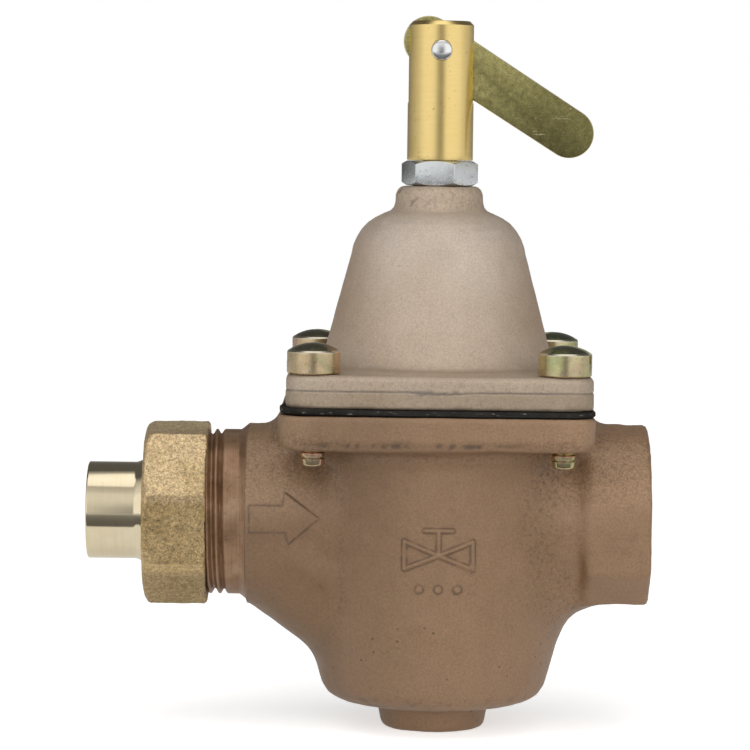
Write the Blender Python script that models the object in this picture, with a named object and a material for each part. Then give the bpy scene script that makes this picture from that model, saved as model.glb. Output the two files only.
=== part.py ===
"""Pressure reducing valve with a fast-fill lever, built as an assembly of separate pieces.

Metres, +Z up along the stem axis, +X along the flow from inlet to outlet.
The origin is the centre of the flat face under the bottom boss, on the stem axis.
"""

import math

import bmesh
import bpy
from mathutils import Matrix, Vector

MM = 0.001

# ---------------------------------------------------------------- driving dimensions, in millimetres
PORT_Z = 41.4            # height of the inlet and outlet axis
OUTLET_X = 40.9          # outlet face
SPIGOT_X = -48.6         # end face of the threaded union spigot
HUB_R = 17.0             # inlet hub radius
SPIGOT_R = 15.95         # union thread, outside radius
UNION_PITCH = 1.814      # 14 threads per inch
OUTLET_R = 17.4          # outlet hub radius
HUB_LOW = 16.3           # from the port axis down to the outlet hub's lowest flat
BARREL_R = 24.4          # body barrel radius
FLANGE_W = 58.6          # body flange, square
FLANGE_Z0, FLANGE_Z1 = 55.7, 62.2
DIAPHRAGM_W = 59.4
DIAPHRAGM_Z0, DIAPHRAGM_Z1 = 62.3, 63.6
BELL_W = 58.1            # spring housing flange, square
BELL_SHIFT = 0.1         # the housing flange sits this far off centre
BELL_Z0, BELL_Z1 = 63.7, 69.9
CORNER_R = 5.0
SCREW_AT = 23.55         # cover screws, half of their spacing
SCREW_HEAD_R, SCREW_HEAD_H, SCREW_DOME = 5.05, 4.5, 1.3
SCREW_R, SCREW_TIP_R, SCREW_TIP_Z = 2.4, 1.87, 52.6
NECK_R, NECK_Z = 8.45, 105.0
NUT_AF, NUT_Z0, NUT_Z1 = 12.95, 105.1, 109.85
NUT_TURN = -69.6         # where one corner of the lock nut points, in degrees
ADJUST_R = 3.97          # 5/16 in adjusting thread
ADJUST_END_Z = 88.2
POST_R, POST_Z0, POST_Z1 = 6.35, 109.95, 136.7
SLOT_HALF, SLOT_Z = 1.3, 121.0
PIN_Z, PIN_R = 131.0, 1.95
LEVER_T, LEVER_ANGLE = 2.3, -31.6
LEVER_TIP, LEVER_TIP_R = 29.0, 4.86
CAM_BACK, CAM_RISE, CAM_R = 3.0, 0.4, 4.85
ROD_R, ROD_Z0, ROD_Z1 = 1.55, 70.2, 124.6
STEM_R = 1.6
UNION_NUT_AF = 33.7
UNION_NUT_X0, UNION_NUT_X1 = -56.25, -43.9
UNION_NUT_TURN = 25.0    # where one corner of the octagon points
TAIL_X, TAIL_R, CUP_R = -67.3, 9.33, 8.0

SEG = 28


# ---------------------------------------------------------------- helpers
def clear_scene():
    for obj in list(bpy.data.objects):
        bpy.data.objects.remove(obj, do_unlink=True)


def material(name, rgb, roughness, metallic):
    made = bpy.data.materials.new(name)
    made.use_nodes = True
    shader = made.node_tree.nodes["Principled BSDF"]
    shader.inputs["Base Color"].default_value = (*rgb, 1.0)
    shader.inputs["Roughness"].default_value = roughness
    shader.inputs["Metallic"].default_value = metallic
    return made


def finish_bmesh(name, bm):
    bmesh.ops.remove_doubles(bm, verts=bm.verts, dist=1e-7)
    bmesh.ops.recalc_face_normals(bm, faces=bm.faces)
    mesh = bpy.data.meshes.new(name)
    bm.to_mesh(mesh)
    bm.free()
    obj = bpy.data.objects.new(name, mesh)
    bpy.context.scene.collection.objects.link(obj)
    return obj


def turned(name, profile, axis="Z", segments=SEG, at=(0.0, 0.0, 0.0), ring=False):
    """A turned solid. profile holds (radius, height) in mm; it runs from axis to axis, or is a closed loop when ring is true."""
    bm = bmesh.new()
    verts = []
    for radius, height in profile:
        p = (radius, 0.0, height) if axis == "Z" else (height, 0.0, radius)
        if axis == "Y":
            p = (radius, height, 0.0)
        verts.append(bm.verts.new(Vector(p) * MM))
    edges = [bm.edges.new((a, b)) for a, b in zip(verts, verts[1:])]
    if ring:
        edges.append(bm.edges.new((verts[-1], verts[0])))
    direction = {"X": (1, 0, 0), "Y": (0, 1, 0), "Z": (0, 0, 1)}[axis]
    bmesh.ops.spin(
        bm,
        geom=verts + edges,
        cent=(0, 0, 0),
        axis=direction,
        angle=2 * math.pi,
        steps=segments,
        use_merge=True,
    )
    obj = finish_bmesh(name, bm)
    obj.data.transform(Matrix.Translation(Vector(at) * MM))
    return obj


def prism(name, outline, low, high, axis="Z"):
    """A straight prism over a closed outline in mm. The outline lies in XY for axis Z, in YZ for axis X, in XZ for axis Y."""
    bm = bmesh.new()

    def place(u, v, w):
        return Vector({"Z": (u, v, w), "X": (w, u, v), "Y": (u, w, v)}[axis]) * MM

    face = bm.faces.new([bm.verts.new(place(u, v, low)) for u, v in outline])
    grown = bmesh.ops.extrude_face_region(bm, geom=[face])
    moved = [g for g in grown["geom"] if isinstance(g, bmesh.types.BMVert)]
    bmesh.ops.translate(bm, verts=moved, vec=place(0, 0, high) - place(0, 0, low))
    return finish_bmesh(name, bm)


def cylinder(name, radius, low, high, axis="Z", at=(0.0, 0.0, 0.0), segments=SEG):
    return turned(name, [(0, low), (radius, low), (radius, high), (0, high)], axis, segments, at)


def loft(name, rings):
    """A solid through closed rings of points in mm, with flat ends."""
    bm = bmesh.new()
    loops = [[bm.verts.new(Vector(p) * MM) for p in ring] for ring in rings]
    for one, two in zip(loops, loops[1:]):
        n = len(one)
        for i in range(n):
            bm.faces.new((one[i], one[(i + 1) % n], two[(i + 1) % n], two[i]))
    bm.faces.new(loops[0])
    bm.faces.new(loops[-1])
    return finish_bmesh(name, bm)


def circle(cx, cy, radius, start, end, steps):
    """Points on an arc from start to end, in degrees, both ends included."""
    return [
        (
            cx + radius * math.cos(math.radians(start + (end - start) * i / steps)),
            cy + radius * math.sin(math.radians(start + (end - start) * i / steps)),
        )
        for i in range(steps + 1)
    ]


def rounded_square(width, radius, steps=4, cx=0.0):
    h = width / 2 - radius
    out = []
    for sx, sy, start in ((1, 1, 0), (-1, 1, 90), (-1, -1, 180), (1, -1, 270)):
        out += circle(cx + sx * h, sy * h, radius, start, start + 90, steps)
    return out


def polygon(sides, across_flats, turn):
    radius = across_flats / 2 / math.cos(math.pi / sides)
    return [
        (
            radius * math.cos(math.radians(turn) + 2 * math.pi * i / sides),
            radius * math.sin(math.radians(turn) + 2 * math.pi * i / sides),
        )
        for i in range(sides)
    ]


def applied(obj):
    """The object with its modifiers made permanent."""
    bpy.context.view_layer.update()
    graph = bpy.context.evaluated_depsgraph_get()
    mesh = bpy.data.meshes.new_from_object(obj.evaluated_get(graph), depsgraph=graph)
    obj.modifiers.clear()
    obj.data = mesh
    return obj


def boolean(obj, other, operation):
    """Joins, cuts or intersects obj with other, and removes other."""
    step = obj.modifiers.new(operation.lower(), "BOOLEAN")
    step.operation = operation
    step.solver = "EXACT"
    step.object = other
    applied(obj)
    bpy.data.objects.remove(other, do_unlink=True)
    return obj


def join(obj, *others):
    for other in others:
        boolean(obj, other, "UNION")
    return obj


def cut(obj, *others):
    for other in others:
        boolean(obj, other, "DIFFERENCE")
    return obj


def bevel(obj, width, segments=2, angle=40):
    step = obj.modifiers.new("bevel", "BEVEL")
    step.width = width * MM
    step.segments = segments
    step.limit_method = "ANGLE"
    step.angle_limit = math.radians(angle)
    return applied(obj)


def coil(name, radius, wire, low, high, turns, axis="Z", at=(0.0, 0.0, 0.0), per_turn=16, sides=6, top_radius=None):
    """A compression spring with closed ends: the pitch is one wire over the first and last turn."""
    top_radius = radius if top_radius is None else top_radius
    count = int(turns * per_turn)
    closed = 2 * wire * 1.02
    free = (high - low - 2 * wire - 2 * closed * 0.75) / (turns - 1.5)

    def height(t):
        if t < 0.75:
            return closed * t
        if t > turns - 0.75:
            return high - low - 2 * wire - closed * (turns - t)
        return closed * 0.75 + free * (t - 0.75)

    bm = bmesh.new()
    rings = []
    for i in range(count + 1):
        t = turns * i / count
        a = 2 * math.pi * t
        r = radius + (top_radius - radius) * t / turns
        centre = Vector((r * math.cos(a), r * math.sin(a), low + wire + height(t)))
        outward = Vector((math.cos(a), math.sin(a), 0))
        up = Vector((0, 0, 1))
        ring = []
        for k in range(sides):
            b = 2 * math.pi * k / sides
            p = centre + (outward * math.cos(b) + up * math.sin(b)) * wire
            if axis == "X":
                p = Vector((p.z, p.y, -p.x))
            ring.append(bm.verts.new((p + Vector(at)) * MM))
        rings.append(ring)
    for one, two in zip(rings, rings[1:]):
        for k in range(sides):
            bm.faces.new((one[k], one[(k + 1) % sides], two[(k + 1) % sides], two[k]))
    bm.faces.new(rings[0])
    bm.faces.new(rings[-1])
    return finish_bmesh(name, bm)


def dress(obj, finish, smooth=True):
    obj.data.materials.clear()
    obj.data.materials.append(finish)
    if smooth:
        obj.data.shade_smooth()
        obj.data.set_sharp_from_angle(angle=math.radians(32))
    return obj


# ---------------------------------------------------------------- pieces
def make_body(bronze):
    """The cast body: barrel, inlet hub with its union spigot, sloping inlet passage, outlet hub and top flange."""
    barrel = turned(
        "body",
        [
            (0, 0), (8.6, 0), (9.6, 0.9), (10.0, 2.6), (10.7, 4.5), (14.8, 5.1), (18.0, 6.1),
            (20.1, 7.9), (22.6, 12.2), (23.8, 15.2), (BARREL_R, 20.0), (BARREL_R, 57.0), (0, 57.0),
        ],
        segments=32,
    )
    spigot = [(0, SPIGOT_X), (14.9, SPIGOT_X)]
    x = SPIGOT_X + 0.5
    while x + UNION_PITCH < -40.4:
        spigot += [(14.95, x), (SPIGOT_R, x + 0.45 * UNION_PITCH), (SPIGOT_R, x + 0.55 * UNION_PITCH)]
        x += UNION_PITCH
    spigot += [(14.95, x), (16.0, x + 0.8), (16.0, -37.7), (HUB_R, -36.2), (HUB_R, -6.0), (0, -6.0)]
    inlet = turned("inlet", spigot, "X", 28, (0, 0, PORT_Z))
    slope = []
    for x, drop, radius in ((-35.9, 0.5, 17.0), (-24.0, 9.5, 16.8), (-10.0, 19.4, 16.4)):
        slope.append([(x, y, PORT_Z - drop + z) for y, z in circle(0, 0, radius, 4, 364 - 20, 17)])
    passage = loft("passage", slope)
    outlet = cylinder("outlet", 16.6, 4.0, 34.0, "X", (0, 0, PORT_Z), 28)
    hub = circle(0, 0, OUTLET_R, 16, 164, 12)
    hub += [(-OUTLET_R, 4.2), (-OUTLET_R, -9.6), (-9.7, -HUB_LOW), (9.7, -HUB_LOW), (OUTLET_R, -9.6), (OUTLET_R, 4.2)]
    wrench = prism("wrench", [(y, z + PORT_Z) for y, z in hub], 28.0, OUTLET_X, "X")
    bevel(wrench, 1.2, 2, 50)
    flange = prism("flange", rounded_square(FLANGE_W, CORNER_R), FLANGE_Z0, FLANGE_Z1)
    join(barrel, inlet, passage, outlet, wrench, flange)
    chambers = turned(
        "chambers",
        [
            (0, 2.8), (3.3, 2.8), (3.3, 8.0), (16.4, 8.2), (18.5, 10.5), (19.8, 15.0), (19.8, 30.0),
            (17.5, 33.0), (8.0, 33.0), (8.0, 40.0), (12.1, 40.0), (12.1, 57.2), (21.0, 57.2), (21.0, 63.0), (0, 63.0),
        ],
        segments=24,
    )
    bore = cylinder("bore", 11.2, -50.0, -27.0, "X", (0, 0, PORT_Z), 24)
    down = []
    for x, drop in ((-37.0, 0.0), (-5.0, 20.5)):
        down.append([(x, y, PORT_Z - drop + z) for y, z in circle(0, 0, 9.5, 5, 365 - 20, 17)])
    descent = loft("descent", down)
    port = turned(
        "port",
        [(0, 10.9), (5.6, 10.9), (5.6, 20.6), (8.0, 22.6), (8.0, 27.2), (9.3, 27.2), (9.7, 39.6), (10.8, 41.4), (0, 41.4)],
        "X",
        24,
        (0, 0, PORT_Z),
    )
    holes = [
        cylinder("hole", 2.6, 54.0, 63.0, "Z", (sx * SCREW_AT, sy * SCREW_AT, 0), 12)
        for sx in (-1, 1)
        for sy in (-1, 1)
    ]
    cut(barrel, chambers, bore, descent, port, *holes)
    barrel.name = "body"
    return dress(barrel, bronze)


def make_housing(bronze):
    """The bell-shaped spring housing with its square flange."""
    bell = turned(
        "spring_housing",
        [
            (0, 66.0), (24.6, 66.0), (24.6, 69.95), (23.2, 70.3), (22.3, 71.6), (16.9, 92.0), (16.4, 93.6),
            (15.4, 96.0), (13.2, 98.3), (10.6, 99.7), (9.0, 100.4), (8.5, 101.4), (8.35, 103.4), (7.9, 104.5), (6.9, NECK_Z), (0, NECK_Z),
        ],
        segments=32,
    )
    flange = prism("flange", rounded_square(BELL_W, CORNER_R, 4, BELL_SHIFT), BELL_Z0, BELL_Z1)
    bevel(flange, 0.7, 1, 60)
    join(bell, flange)
    inside = turned(
        "inside",
        [
            (0, 63.0), (20.5, 63.0), (20.5, 66.0), (19.2, 70.5), (13.6, 92.0), (12.6, 94.3), (10.4, 96.2),
            (4.2, 97.0), (4.2, 106.0), (0, 106.0),
        ],
        segments=24,
    )
    holes = [
        cylinder("hole", 2.7, 63.0, 71.0, "Z", (sx * SCREW_AT, sy * SCREW_AT, 0), 12)
        for sx in (-1, 1)
        for sy in (-1, 1)
    ]
    cut(bell, inside, *holes)
    return dress(bell, bronze)


def make_diaphragm(rubber):
    sheet = prism("diaphragm", rounded_square(DIAPHRAGM_W, CORNER_R), DIAPHRAGM_Z0, DIAPHRAGM_Z1)
    holes = [
        cylinder("hole", 2.7, 61.0, 65.0, "Z", (sx * SCREW_AT, sy * SCREW_AT, 0), 12)
        for sx in (-1, 1)
        for sy in (-1, 1)
    ]
    cut(sheet, cylinder("eye", 1.75, 61.0, 65.0, segments=16), *holes)
    return dress(sheet, rubber)


def make_cover_screw(name, x, y, slot_angle, zinc):
    """A slotted fillister-head screw with a dog point."""
    top = BELL_Z1 + 0.1 + SCREW_HEAD_H
    profile = [
        (0, SCREW_TIP_Z), (SCREW_TIP_R - 0.3, SCREW_TIP_Z), (SCREW_TIP_R, SCREW_TIP_Z + 0.3), (SCREW_TIP_R, 54.8),
        (SCREW_R, 55.4), (SCREW_R, BELL_Z1 + 0.1), (SCREW_HEAD_R - 0.3, BELL_Z1 + 0.1), (SCREW_HEAD_R, BELL_Z1 + 0.4),
        (SCREW_HEAD_R, top - 0.15), (4.4, top + 0.35), (2.4, top + 1.05), (0, top + SCREW_DOME),
    ]
    screw = turned(name, profile, segments=16)
    slot = prism("slot", [(-6, -0.65), (6, -0.65), (6, 0.65), (-6, 0.65)], top - 1.1, top + 3)
    slot.data.transform(Matrix.Rotation(math.radians(slot_angle), 4, "Z"))
    cut(screw, slot)
    screw.location = Vector((x, y, 0)) * MM
    return dress(screw, zinc)


def make_lock_nut(zinc):
    nut = prism("lock_nut", polygon(6, NUT_AF, NUT_TURN), NUT_Z0, NUT_Z1)
    barrel = turned(
        "chamfer",
        [(0, NUT_Z0), (6.5, NUT_Z0), (7.55, NUT_Z0 + 0.6), (7.55, NUT_Z1 - 0.6), (6.5, NUT_Z1), (0, NUT_Z1)],
        segments=24,
    )
    boolean(nut, barrel, "INTERSECT")
    cut(nut, cylinder("bore", ADJUST_R + 0.13, NUT_Z0 - 1, NUT_Z1 + 1, segments=24))
    return dress(nut, zinc)


def make_adjusting_screw(brass):
    """The slotted post on top of its adjusting thread, bored through for the push rod."""
    post = turned(
        "adjusting_screw",
        [
            (0, ADJUST_END_Z), (3.1, ADJUST_END_Z), (ADJUST_R, ADJUST_END_Z + 0.9), (ADJUST_R, POST_Z0 - 0.0),
            (POST_R - 0.2, POST_Z0), (POST_R, POST_Z0 + 0.2), (POST_R, POST_Z1 - 0.85), (POST_R - 0.85, POST_Z1), (0, POST_Z1),
        ],
        segments=28,
    )
    slot = prism("slot", [(-8, -SLOT_HALF), (8, -SLOT_HALF), (8, SLOT_HALF), (-8, SLOT_HALF)], SLOT_Z, POST_Z1 + 2)
    bore = cylinder("bore", 1.75, ADJUST_END_Z - 1, 127.2, segments=20)
    eye = cylinder("eye", PIN_R + 0.1, -8, 8, "Y", (0, 0, PIN_Z), 20)
    cut(post, bore, slot, eye)
    return dress(post, brass)


def make_lever(brass):
    """A flat bar with round ends. Its short end, past the pin, is the cam that presses the push rod."""
    outline = circle(LEVER_TIP, 0, LEVER_TIP_R, -90, 90, 12) + circle(-CAM_BACK, CAM_RISE, CAM_R, 90, 270, 14)
    lever = prism("lever", outline, -LEVER_T / 2, LEVER_T / 2, "Y")
    bevel(lever, 0.18, 1, 60)
    cut(lever, cylinder("eye", PIN_R + 0.13, -3, 3, "Y", segments=20))
    lever.data.transform(Matrix.Rotation(math.radians(-LEVER_ANGLE), 4, "Y"))
    lever.location = Vector((0, 0, PIN_Z)) * MM
    return dress(lever, brass)


def make_lever_pin(steel):
    pin = turned(
        "lever_pin",
        [(0, -6.95), (0.9, -6.85), (1.6, -6.55), (PIN_R, -6.2), (PIN_R, 6.2), (1.6, 6.55), (0.9, 6.85), (0, 6.95)],
        "Y",
        20,
    )
    pin.location = Vector((0, 0, PIN_Z)) * MM
    return dress(pin, steel)


def make_push_rod(steel):
    c = ROD_Z1 - ROD_R
    profile = [(0, ROD_Z0), (ROD_R - 0.2, ROD_Z0), (ROD_R, ROD_Z0 + 0.2), (ROD_R, c)]
    profile += [
        (ROD_R * math.cos(math.radians(a)), c + ROD_R * math.sin(math.radians(a))) for a in (30, 60)
    ] + [(0, ROD_Z1)]
    return dress(turned("push_rod", profile, segments=16), steel)


def make_union_nut(brass):
    nut = prism("union_nut", [(y, z + PORT_Z) for y, z in polygon(8, UNION_NUT_AF, UNION_NUT_TURN)], UNION_NUT_X0, UNION_NUT_X1, "X")
    corner = UNION_NUT_AF / 2 / math.cos(math.pi / 8)
    shape = turned(
        "chamfer",
        [
            (0, UNION_NUT_X0), (corner - 2.6, UNION_NUT_X0), (corner + 0.02, UNION_NUT_X0 + 1.7),
            (corner + 0.02, UNION_NUT_X1 - 0.3), (corner - 0.6, UNION_NUT_X1), (0, UNION_NUT_X1),
        ],
        "X",
        32,
        (0, 0, PORT_Z),
    )
    boolean(nut, shape, "INTERSECT")
    bore = turned(
        "bore",
        [(0, -57.0), (10.4, -57.0), (10.4, -53.3), (SPIGOT_R + 0.2, -53.3), (SPIGOT_R + 0.2, -43.0), (0, -43.0)],
        "X",
        28,
        (0, 0, PORT_Z),
    )
    cut(nut, bore)
    return dress(nut, brass)


def make_tailpiece(brass):
    return dress(
        turned(
            "union_tailpiece",
            [
                (CUP_R, TAIL_X), (TAIL_R - 0.2, TAIL_X), (TAIL_R, TAIL_X + 0.2), (TAIL_R, -56.8), (9.6, -55.8), (10.15, -55.0),
                (10.15, -53.1), (14.7, -53.1), (14.7, -50.6), (6.9, -50.6), (6.9, -55.4), (CUP_R, -55.4),
            ],
            "X",
            32,
            (0, 0, PORT_Z),
            ring=True,
        ),
        brass,
    )


def ring(name, inner, outer, low, high, finish, axis="Z", z=0.0, segments=24):
    return dress(
        turned(name, [(inner, low), (outer, low), (outer, high), (inner, high)], axis, segments, (0, 0, z), ring=True),
        finish,
    )


def make_strainer(steel):
    return dress(
        turned(
            "inlet_strainer",
            [
                (0, -38.9), (9.2, -38.9), (9.4, -39.1), (9.4, -47.6), (10.9, -47.6), (10.9, -48.4), (8.8, -48.4),
                (8.8, -39.5), (0, -39.5),
            ],
            "X",
            24,
            (0, 0, PORT_Z),
        ),
        steel,
    )


def make_check(plastic, rubber, steel):
    cage = turned("check_cage", [(4.8, -37.9), (10.9, -37.9), (10.9, -36.0), (4.8, -36.0)], "X", 24, (0, 0, PORT_Z), ring=True)
    legs = []
    for k in range(3):
        leg = prism("leg", [(-0.7, 2.0), (0.7, 2.0), (0.7, 9.0), (-0.7, 9.0)], -31.0, -29.4, "X")
        rail = prism("rail", [(-0.7, 7.4), (0.7, 7.4), (0.7, 9.0), (-0.7, 9.0)], -37.0, -29.4, "X")
        join(leg, rail)
        leg.data.transform(Matrix.Rotation(math.radians(30 + 120 * k), 4, "X"))
        leg.data.transform(Matrix.Translation(Vector((0, 0, PORT_Z)) * MM))
        legs.append(leg)
    hub = turned("hub", [(1.6, -31.0), (3.0, -31.0), (3.0, -29.4), (1.6, -29.4)], "X", 16, (0, 0, PORT_Z), ring=True)
    join(cage, *legs)
    join(cage, hub)
    dress(cage, plastic)
    poppet = turned(
        "check_poppet",
        [(0, -35.8), (6.3, -35.8), (6.3, -34.9), (1.3, -34.7), (1.3, -28.4), (0, -28.4)],
        "X",
        16,
        (0, 0, PORT_Z),
    )
    dress(poppet, rubber)
    spring = coil("check_spring", 2.4, 0.22, -34.55, -31.1, 3.5, "X", (0, 0, PORT_Z), 10, 4)
    dress(spring, steel)
    return cage, poppet, spring


def make_seat(brass):
    return dress(
        turned(
            "seat_ring",
            [
                (4.6, 31.5), (5.5, 31.5), (6.2, 33.3), (7.85, 33.3), (7.85, 40.1), (9.4, 40.1), (9.4, 42.2), (5.2, 42.2), (4.6, 41.6),
            ],
            segments=24,
            ring=True,
        ),
        brass,
    )


def make_disc_holder(brass):
    return dress(
        turned(
            "disc_holder",
            [
                (0, 5.2), (2.6, 5.2), (3.0, 5.6), (3.0, 23.0), (7.2, 23.0), (8.0, 24.0), (8.0, 30.2), (6.75, 30.2),
                (6.75, 28.7), (1.75, 28.7), (1.75, 25.0), (0, 25.0),
            ],
            segments=24,
        ),
        brass,
    )


def make_stem(steel):
    return dress(
        turned(
            "valve_stem",
            [
                (0, 25.1), (STEM_R, 25.1), (STEM_R, 55.5), (3.2, 56.0), (3.2, 60.1), (STEM_R, 60.1), (STEM_R, 70.1), (0, 70.1),
            ],
            segments=16,
        ),
        steel,
    )


def make_diaphragm_nut(steel):
    nut = prism("diaphragm_nut", polygon(6, 8.0, 0), 65.8, 69.0)
    cut(nut, cylinder("bore", STEM_R + 0.1, 65.0, 70.0, segments=16))
    return dress(nut, steel, smooth=False)


def main():
    clear_scene()
    bronze = material("cast_bronze", (0.29, 0.17, 0.10), 0.55, 0.7)
    housing = material("housing_bronze", (0.42, 0.33, 0.24), 0.55, 0.6)
    gold = material("turned_brass", (0.78, 0.58, 0.25), 0.32, 1.0)
    olive = material("lever_brass", (0.35, 0.31, 0.14), 0.45, 0.9)
    cast_brass = material("union_brass", (0.45, 0.33, 0.16), 0.6, 0.8)
    tail = material("tail_brass", (0.70, 0.62, 0.44), 0.2, 1.0)
    zinc = material("zinc_plate", (0.62, 0.65, 0.67), 0.35, 1.0)
    yellow = material("yellow_zinc", (0.63, 0.57, 0.33), 0.3, 1.0)
    steel = material("steel", (0.66, 0.66, 0.65), 0.3, 1.0)
    rubber = material("rubber", (0.03, 0.03, 0.03), 0.7, 0.0)
    fibre = material("fibre_gasket", (0.23, 0.10, 0.06), 0.8, 0.0)
    plastic = material("acetal", (0.75, 0.74, 0.70), 0.4, 0.0)

    make_body(bronze)
    make_housing(housing)
    make_diaphragm(rubber)
    at = SCREW_AT
    for name, x, y, angle in (
        ("cover_screw_front_left", -at, -at, 2.0),
        ("cover_screw_front_right", at, -at, -22.0),
        ("cover_screw_rear_left", -at, at, 65.0),
        ("cover_screw_rear_right", at, at, 110.0),
    ):
        make_cover_screw(name, x, y, angle, yellow)
    make_lock_nut(zinc)
    make_adjusting_screw(gold)
    make_lever(olive)
    make_lever_pin(steel)
    make_push_rod(steel)
    make_union_nut(cast_brass)
    make_tailpiece(tail)
    ring("union_gasket", 9.6, 14.5, -50.5, -48.7, fibre, "X", PORT_Z)
    make_strainer(steel)
    make_check(plastic, rubber, steel)
    make_seat(cast_brass)
    ring("valve_disc", 1.75, 6.6, 28.8, 31.4, rubber)
    make_disc_holder(cast_brass)
    dress(coil("disc_spring", 4.6, 0.4, 8.35, 22.9, 6, per_turn=10, sides=4), steel)
    make_stem(steel)
    ring("lower_diaphragm_plate", 1.75, 11.6, 60.2, 62.2, cast_brass)
    ring("upper_diaphragm_plate", 1.75, 17.0, 63.7, 65.7, steel, segments=32)
    make_diaphragm_nut(steel)
    dress(coil("range_spring", 11.0, 1.15, 65.8, 86.2, 5.5, per_turn=14, sides=5), steel)
    button = turned(
        "spring_button",
        [(2.0, 84.3), (9.2, 84.3), (9.5, 86.3), (12.3, 86.3), (12.3, 87.9), (10.0, 88.05), (5.0, 88.05), (2.0, 88.05)],
        segments=28,
        ring=True,
    )
    dress(button, steel)


main()
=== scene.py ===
import math

import bmesh
import bpy
import numpy as np
from mathutils import Matrix, Vector

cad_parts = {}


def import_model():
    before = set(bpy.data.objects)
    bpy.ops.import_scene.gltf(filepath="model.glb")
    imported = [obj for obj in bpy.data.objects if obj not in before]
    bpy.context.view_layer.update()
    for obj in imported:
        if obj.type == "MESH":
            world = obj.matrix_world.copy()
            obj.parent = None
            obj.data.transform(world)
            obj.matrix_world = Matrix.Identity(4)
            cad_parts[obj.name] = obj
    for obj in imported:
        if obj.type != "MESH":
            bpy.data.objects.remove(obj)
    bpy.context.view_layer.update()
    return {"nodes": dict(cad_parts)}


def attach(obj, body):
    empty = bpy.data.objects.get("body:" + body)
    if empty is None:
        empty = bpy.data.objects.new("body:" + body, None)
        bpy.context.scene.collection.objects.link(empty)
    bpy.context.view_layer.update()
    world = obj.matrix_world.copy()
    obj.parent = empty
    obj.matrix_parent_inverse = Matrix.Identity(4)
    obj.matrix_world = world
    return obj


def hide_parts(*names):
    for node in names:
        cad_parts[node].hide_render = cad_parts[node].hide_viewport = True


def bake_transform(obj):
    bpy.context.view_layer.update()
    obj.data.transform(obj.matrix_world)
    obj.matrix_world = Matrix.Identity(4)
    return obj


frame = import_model()

# ------------------------------------------------------------------ dimensions, in millimetres, as in the CAD
MM = 0.001
PORT = 41.4
NECK_R = 17.2
FLANGE_W = 58.6
BELL_W, BELL_SHIFT = 57.7, 0.14
BELL_Z0, BELL_Z1 = 63.7, 69.9
SCREW_AT = 23.55
UNION_PITCH = 1.814
NUT_X0, NUT_X1 = -56.25, -43.9
PIN_Z = 131.0
POST_R, POST_Z0, POST_Z1 = 6.35, 109.95, 136.7
LEVER_ANGLE = -31.6
RNG = np.random.default_rng(7)


# ------------------------------------------------------------------ distance fields
def smin(a, b, k):
    h = np.maximum(k - np.abs(a - b), 0) / k
    return np.minimum(a, b) - h * h * k * 0.25


def smax(a, b, k):
    return -smin(-a, -b, k)


def rint(a, b, k):
    """Intersection with its edge rounded to radius k."""
    u, v = np.maximum(a + k, 0), np.maximum(b + k, 0)
    return np.minimum(np.maximum(a, b), -k) + np.sqrt(u * u + v * v)


def poly_sd(u, v, pts):
    """Signed distance to a closed outline. A turned profile's edge along its axis has no wall."""
    d = np.full(u.shape, 1e9)
    s = np.ones(u.shape, bool)
    n = len(pts)
    for i in range(n):
        (au, av), (bu, bv) = pts[i], pts[(i + 1) % n]
        eu, ev = bu - au, bv - av
        wu, wv = u - au, v - av
        if not (au == 0 and bu == 0):
            t = np.clip((wu * eu + wv * ev) / (eu * eu + ev * ev + 1e-12), 0, 1)
            d = np.minimum(d, (wu - t * eu) ** 2 + (wv - t * ev) ** 2)
        c1, c2, c3 = v >= av, v < bv, eu * wv > ev * wu
        s ^= (c1 & c2 & c3) | (~c1 & ~c2 & ~c3)
    return np.where(s, 1.0, -1.0) * np.sqrt(d)


def square_sd(x, y, half, radius):
    qx, qy = np.abs(x) - half + radius, np.abs(y) - half + radius
    return np.minimum(np.maximum(qx, qy), 0) + np.hypot(np.maximum(qx, 0), np.maximum(qy, 0)) - radius


def step(lo, hi, x):
    t = np.clip((x - lo) / (hi - lo), 0, 1)
    return t * t * (3 - 2 * t)


def hashed(i, j, k, seed):
    h = (i * 374761393 + j * 668265263 + k * 2147483647 + seed * 1274126177) & 0xFFFFFFFF
    h = ((h ^ (h >> 13)) * 1103515245) & 0xFFFFFFFF
    h = ((h ^ (h >> 16)) * 1597334677) & 0xFFFFFFFF
    return ((h ^ (h >> 15)) & 0xFFFFFF).astype(np.float64) / 0xFFFFFF * 2 - 1


def noise3(P, size, seed=0):
    """Smooth value noise, -1 to 1, with cells of the given size."""
    q = P / size
    c = np.floor(q).astype(np.int64)
    f = q - c
    f = f * f * (3 - 2 * f)
    out = 0.0
    for dx in (0, 1):
        wx = f[:, 0] if dx else 1 - f[:, 0]
        for dy in (0, 1):
            wy = f[:, 1] if dy else 1 - f[:, 1]
            for dz in (0, 1):
                wz = f[:, 2] if dz else 1 - f[:, 2]
                out = out + wx * wy * wz * hashed(c[:, 0] + dx, c[:, 1] + dy, c[:, 2] + dz, seed)
    return out


def fbm(P, size, octaves=3, seed=0):
    out, a = 0.0, 1.0
    for i in range(octaves):
        out = out + a * noise3(P, size / 2**i, seed + i)
        a *= 0.55
    return out


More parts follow.
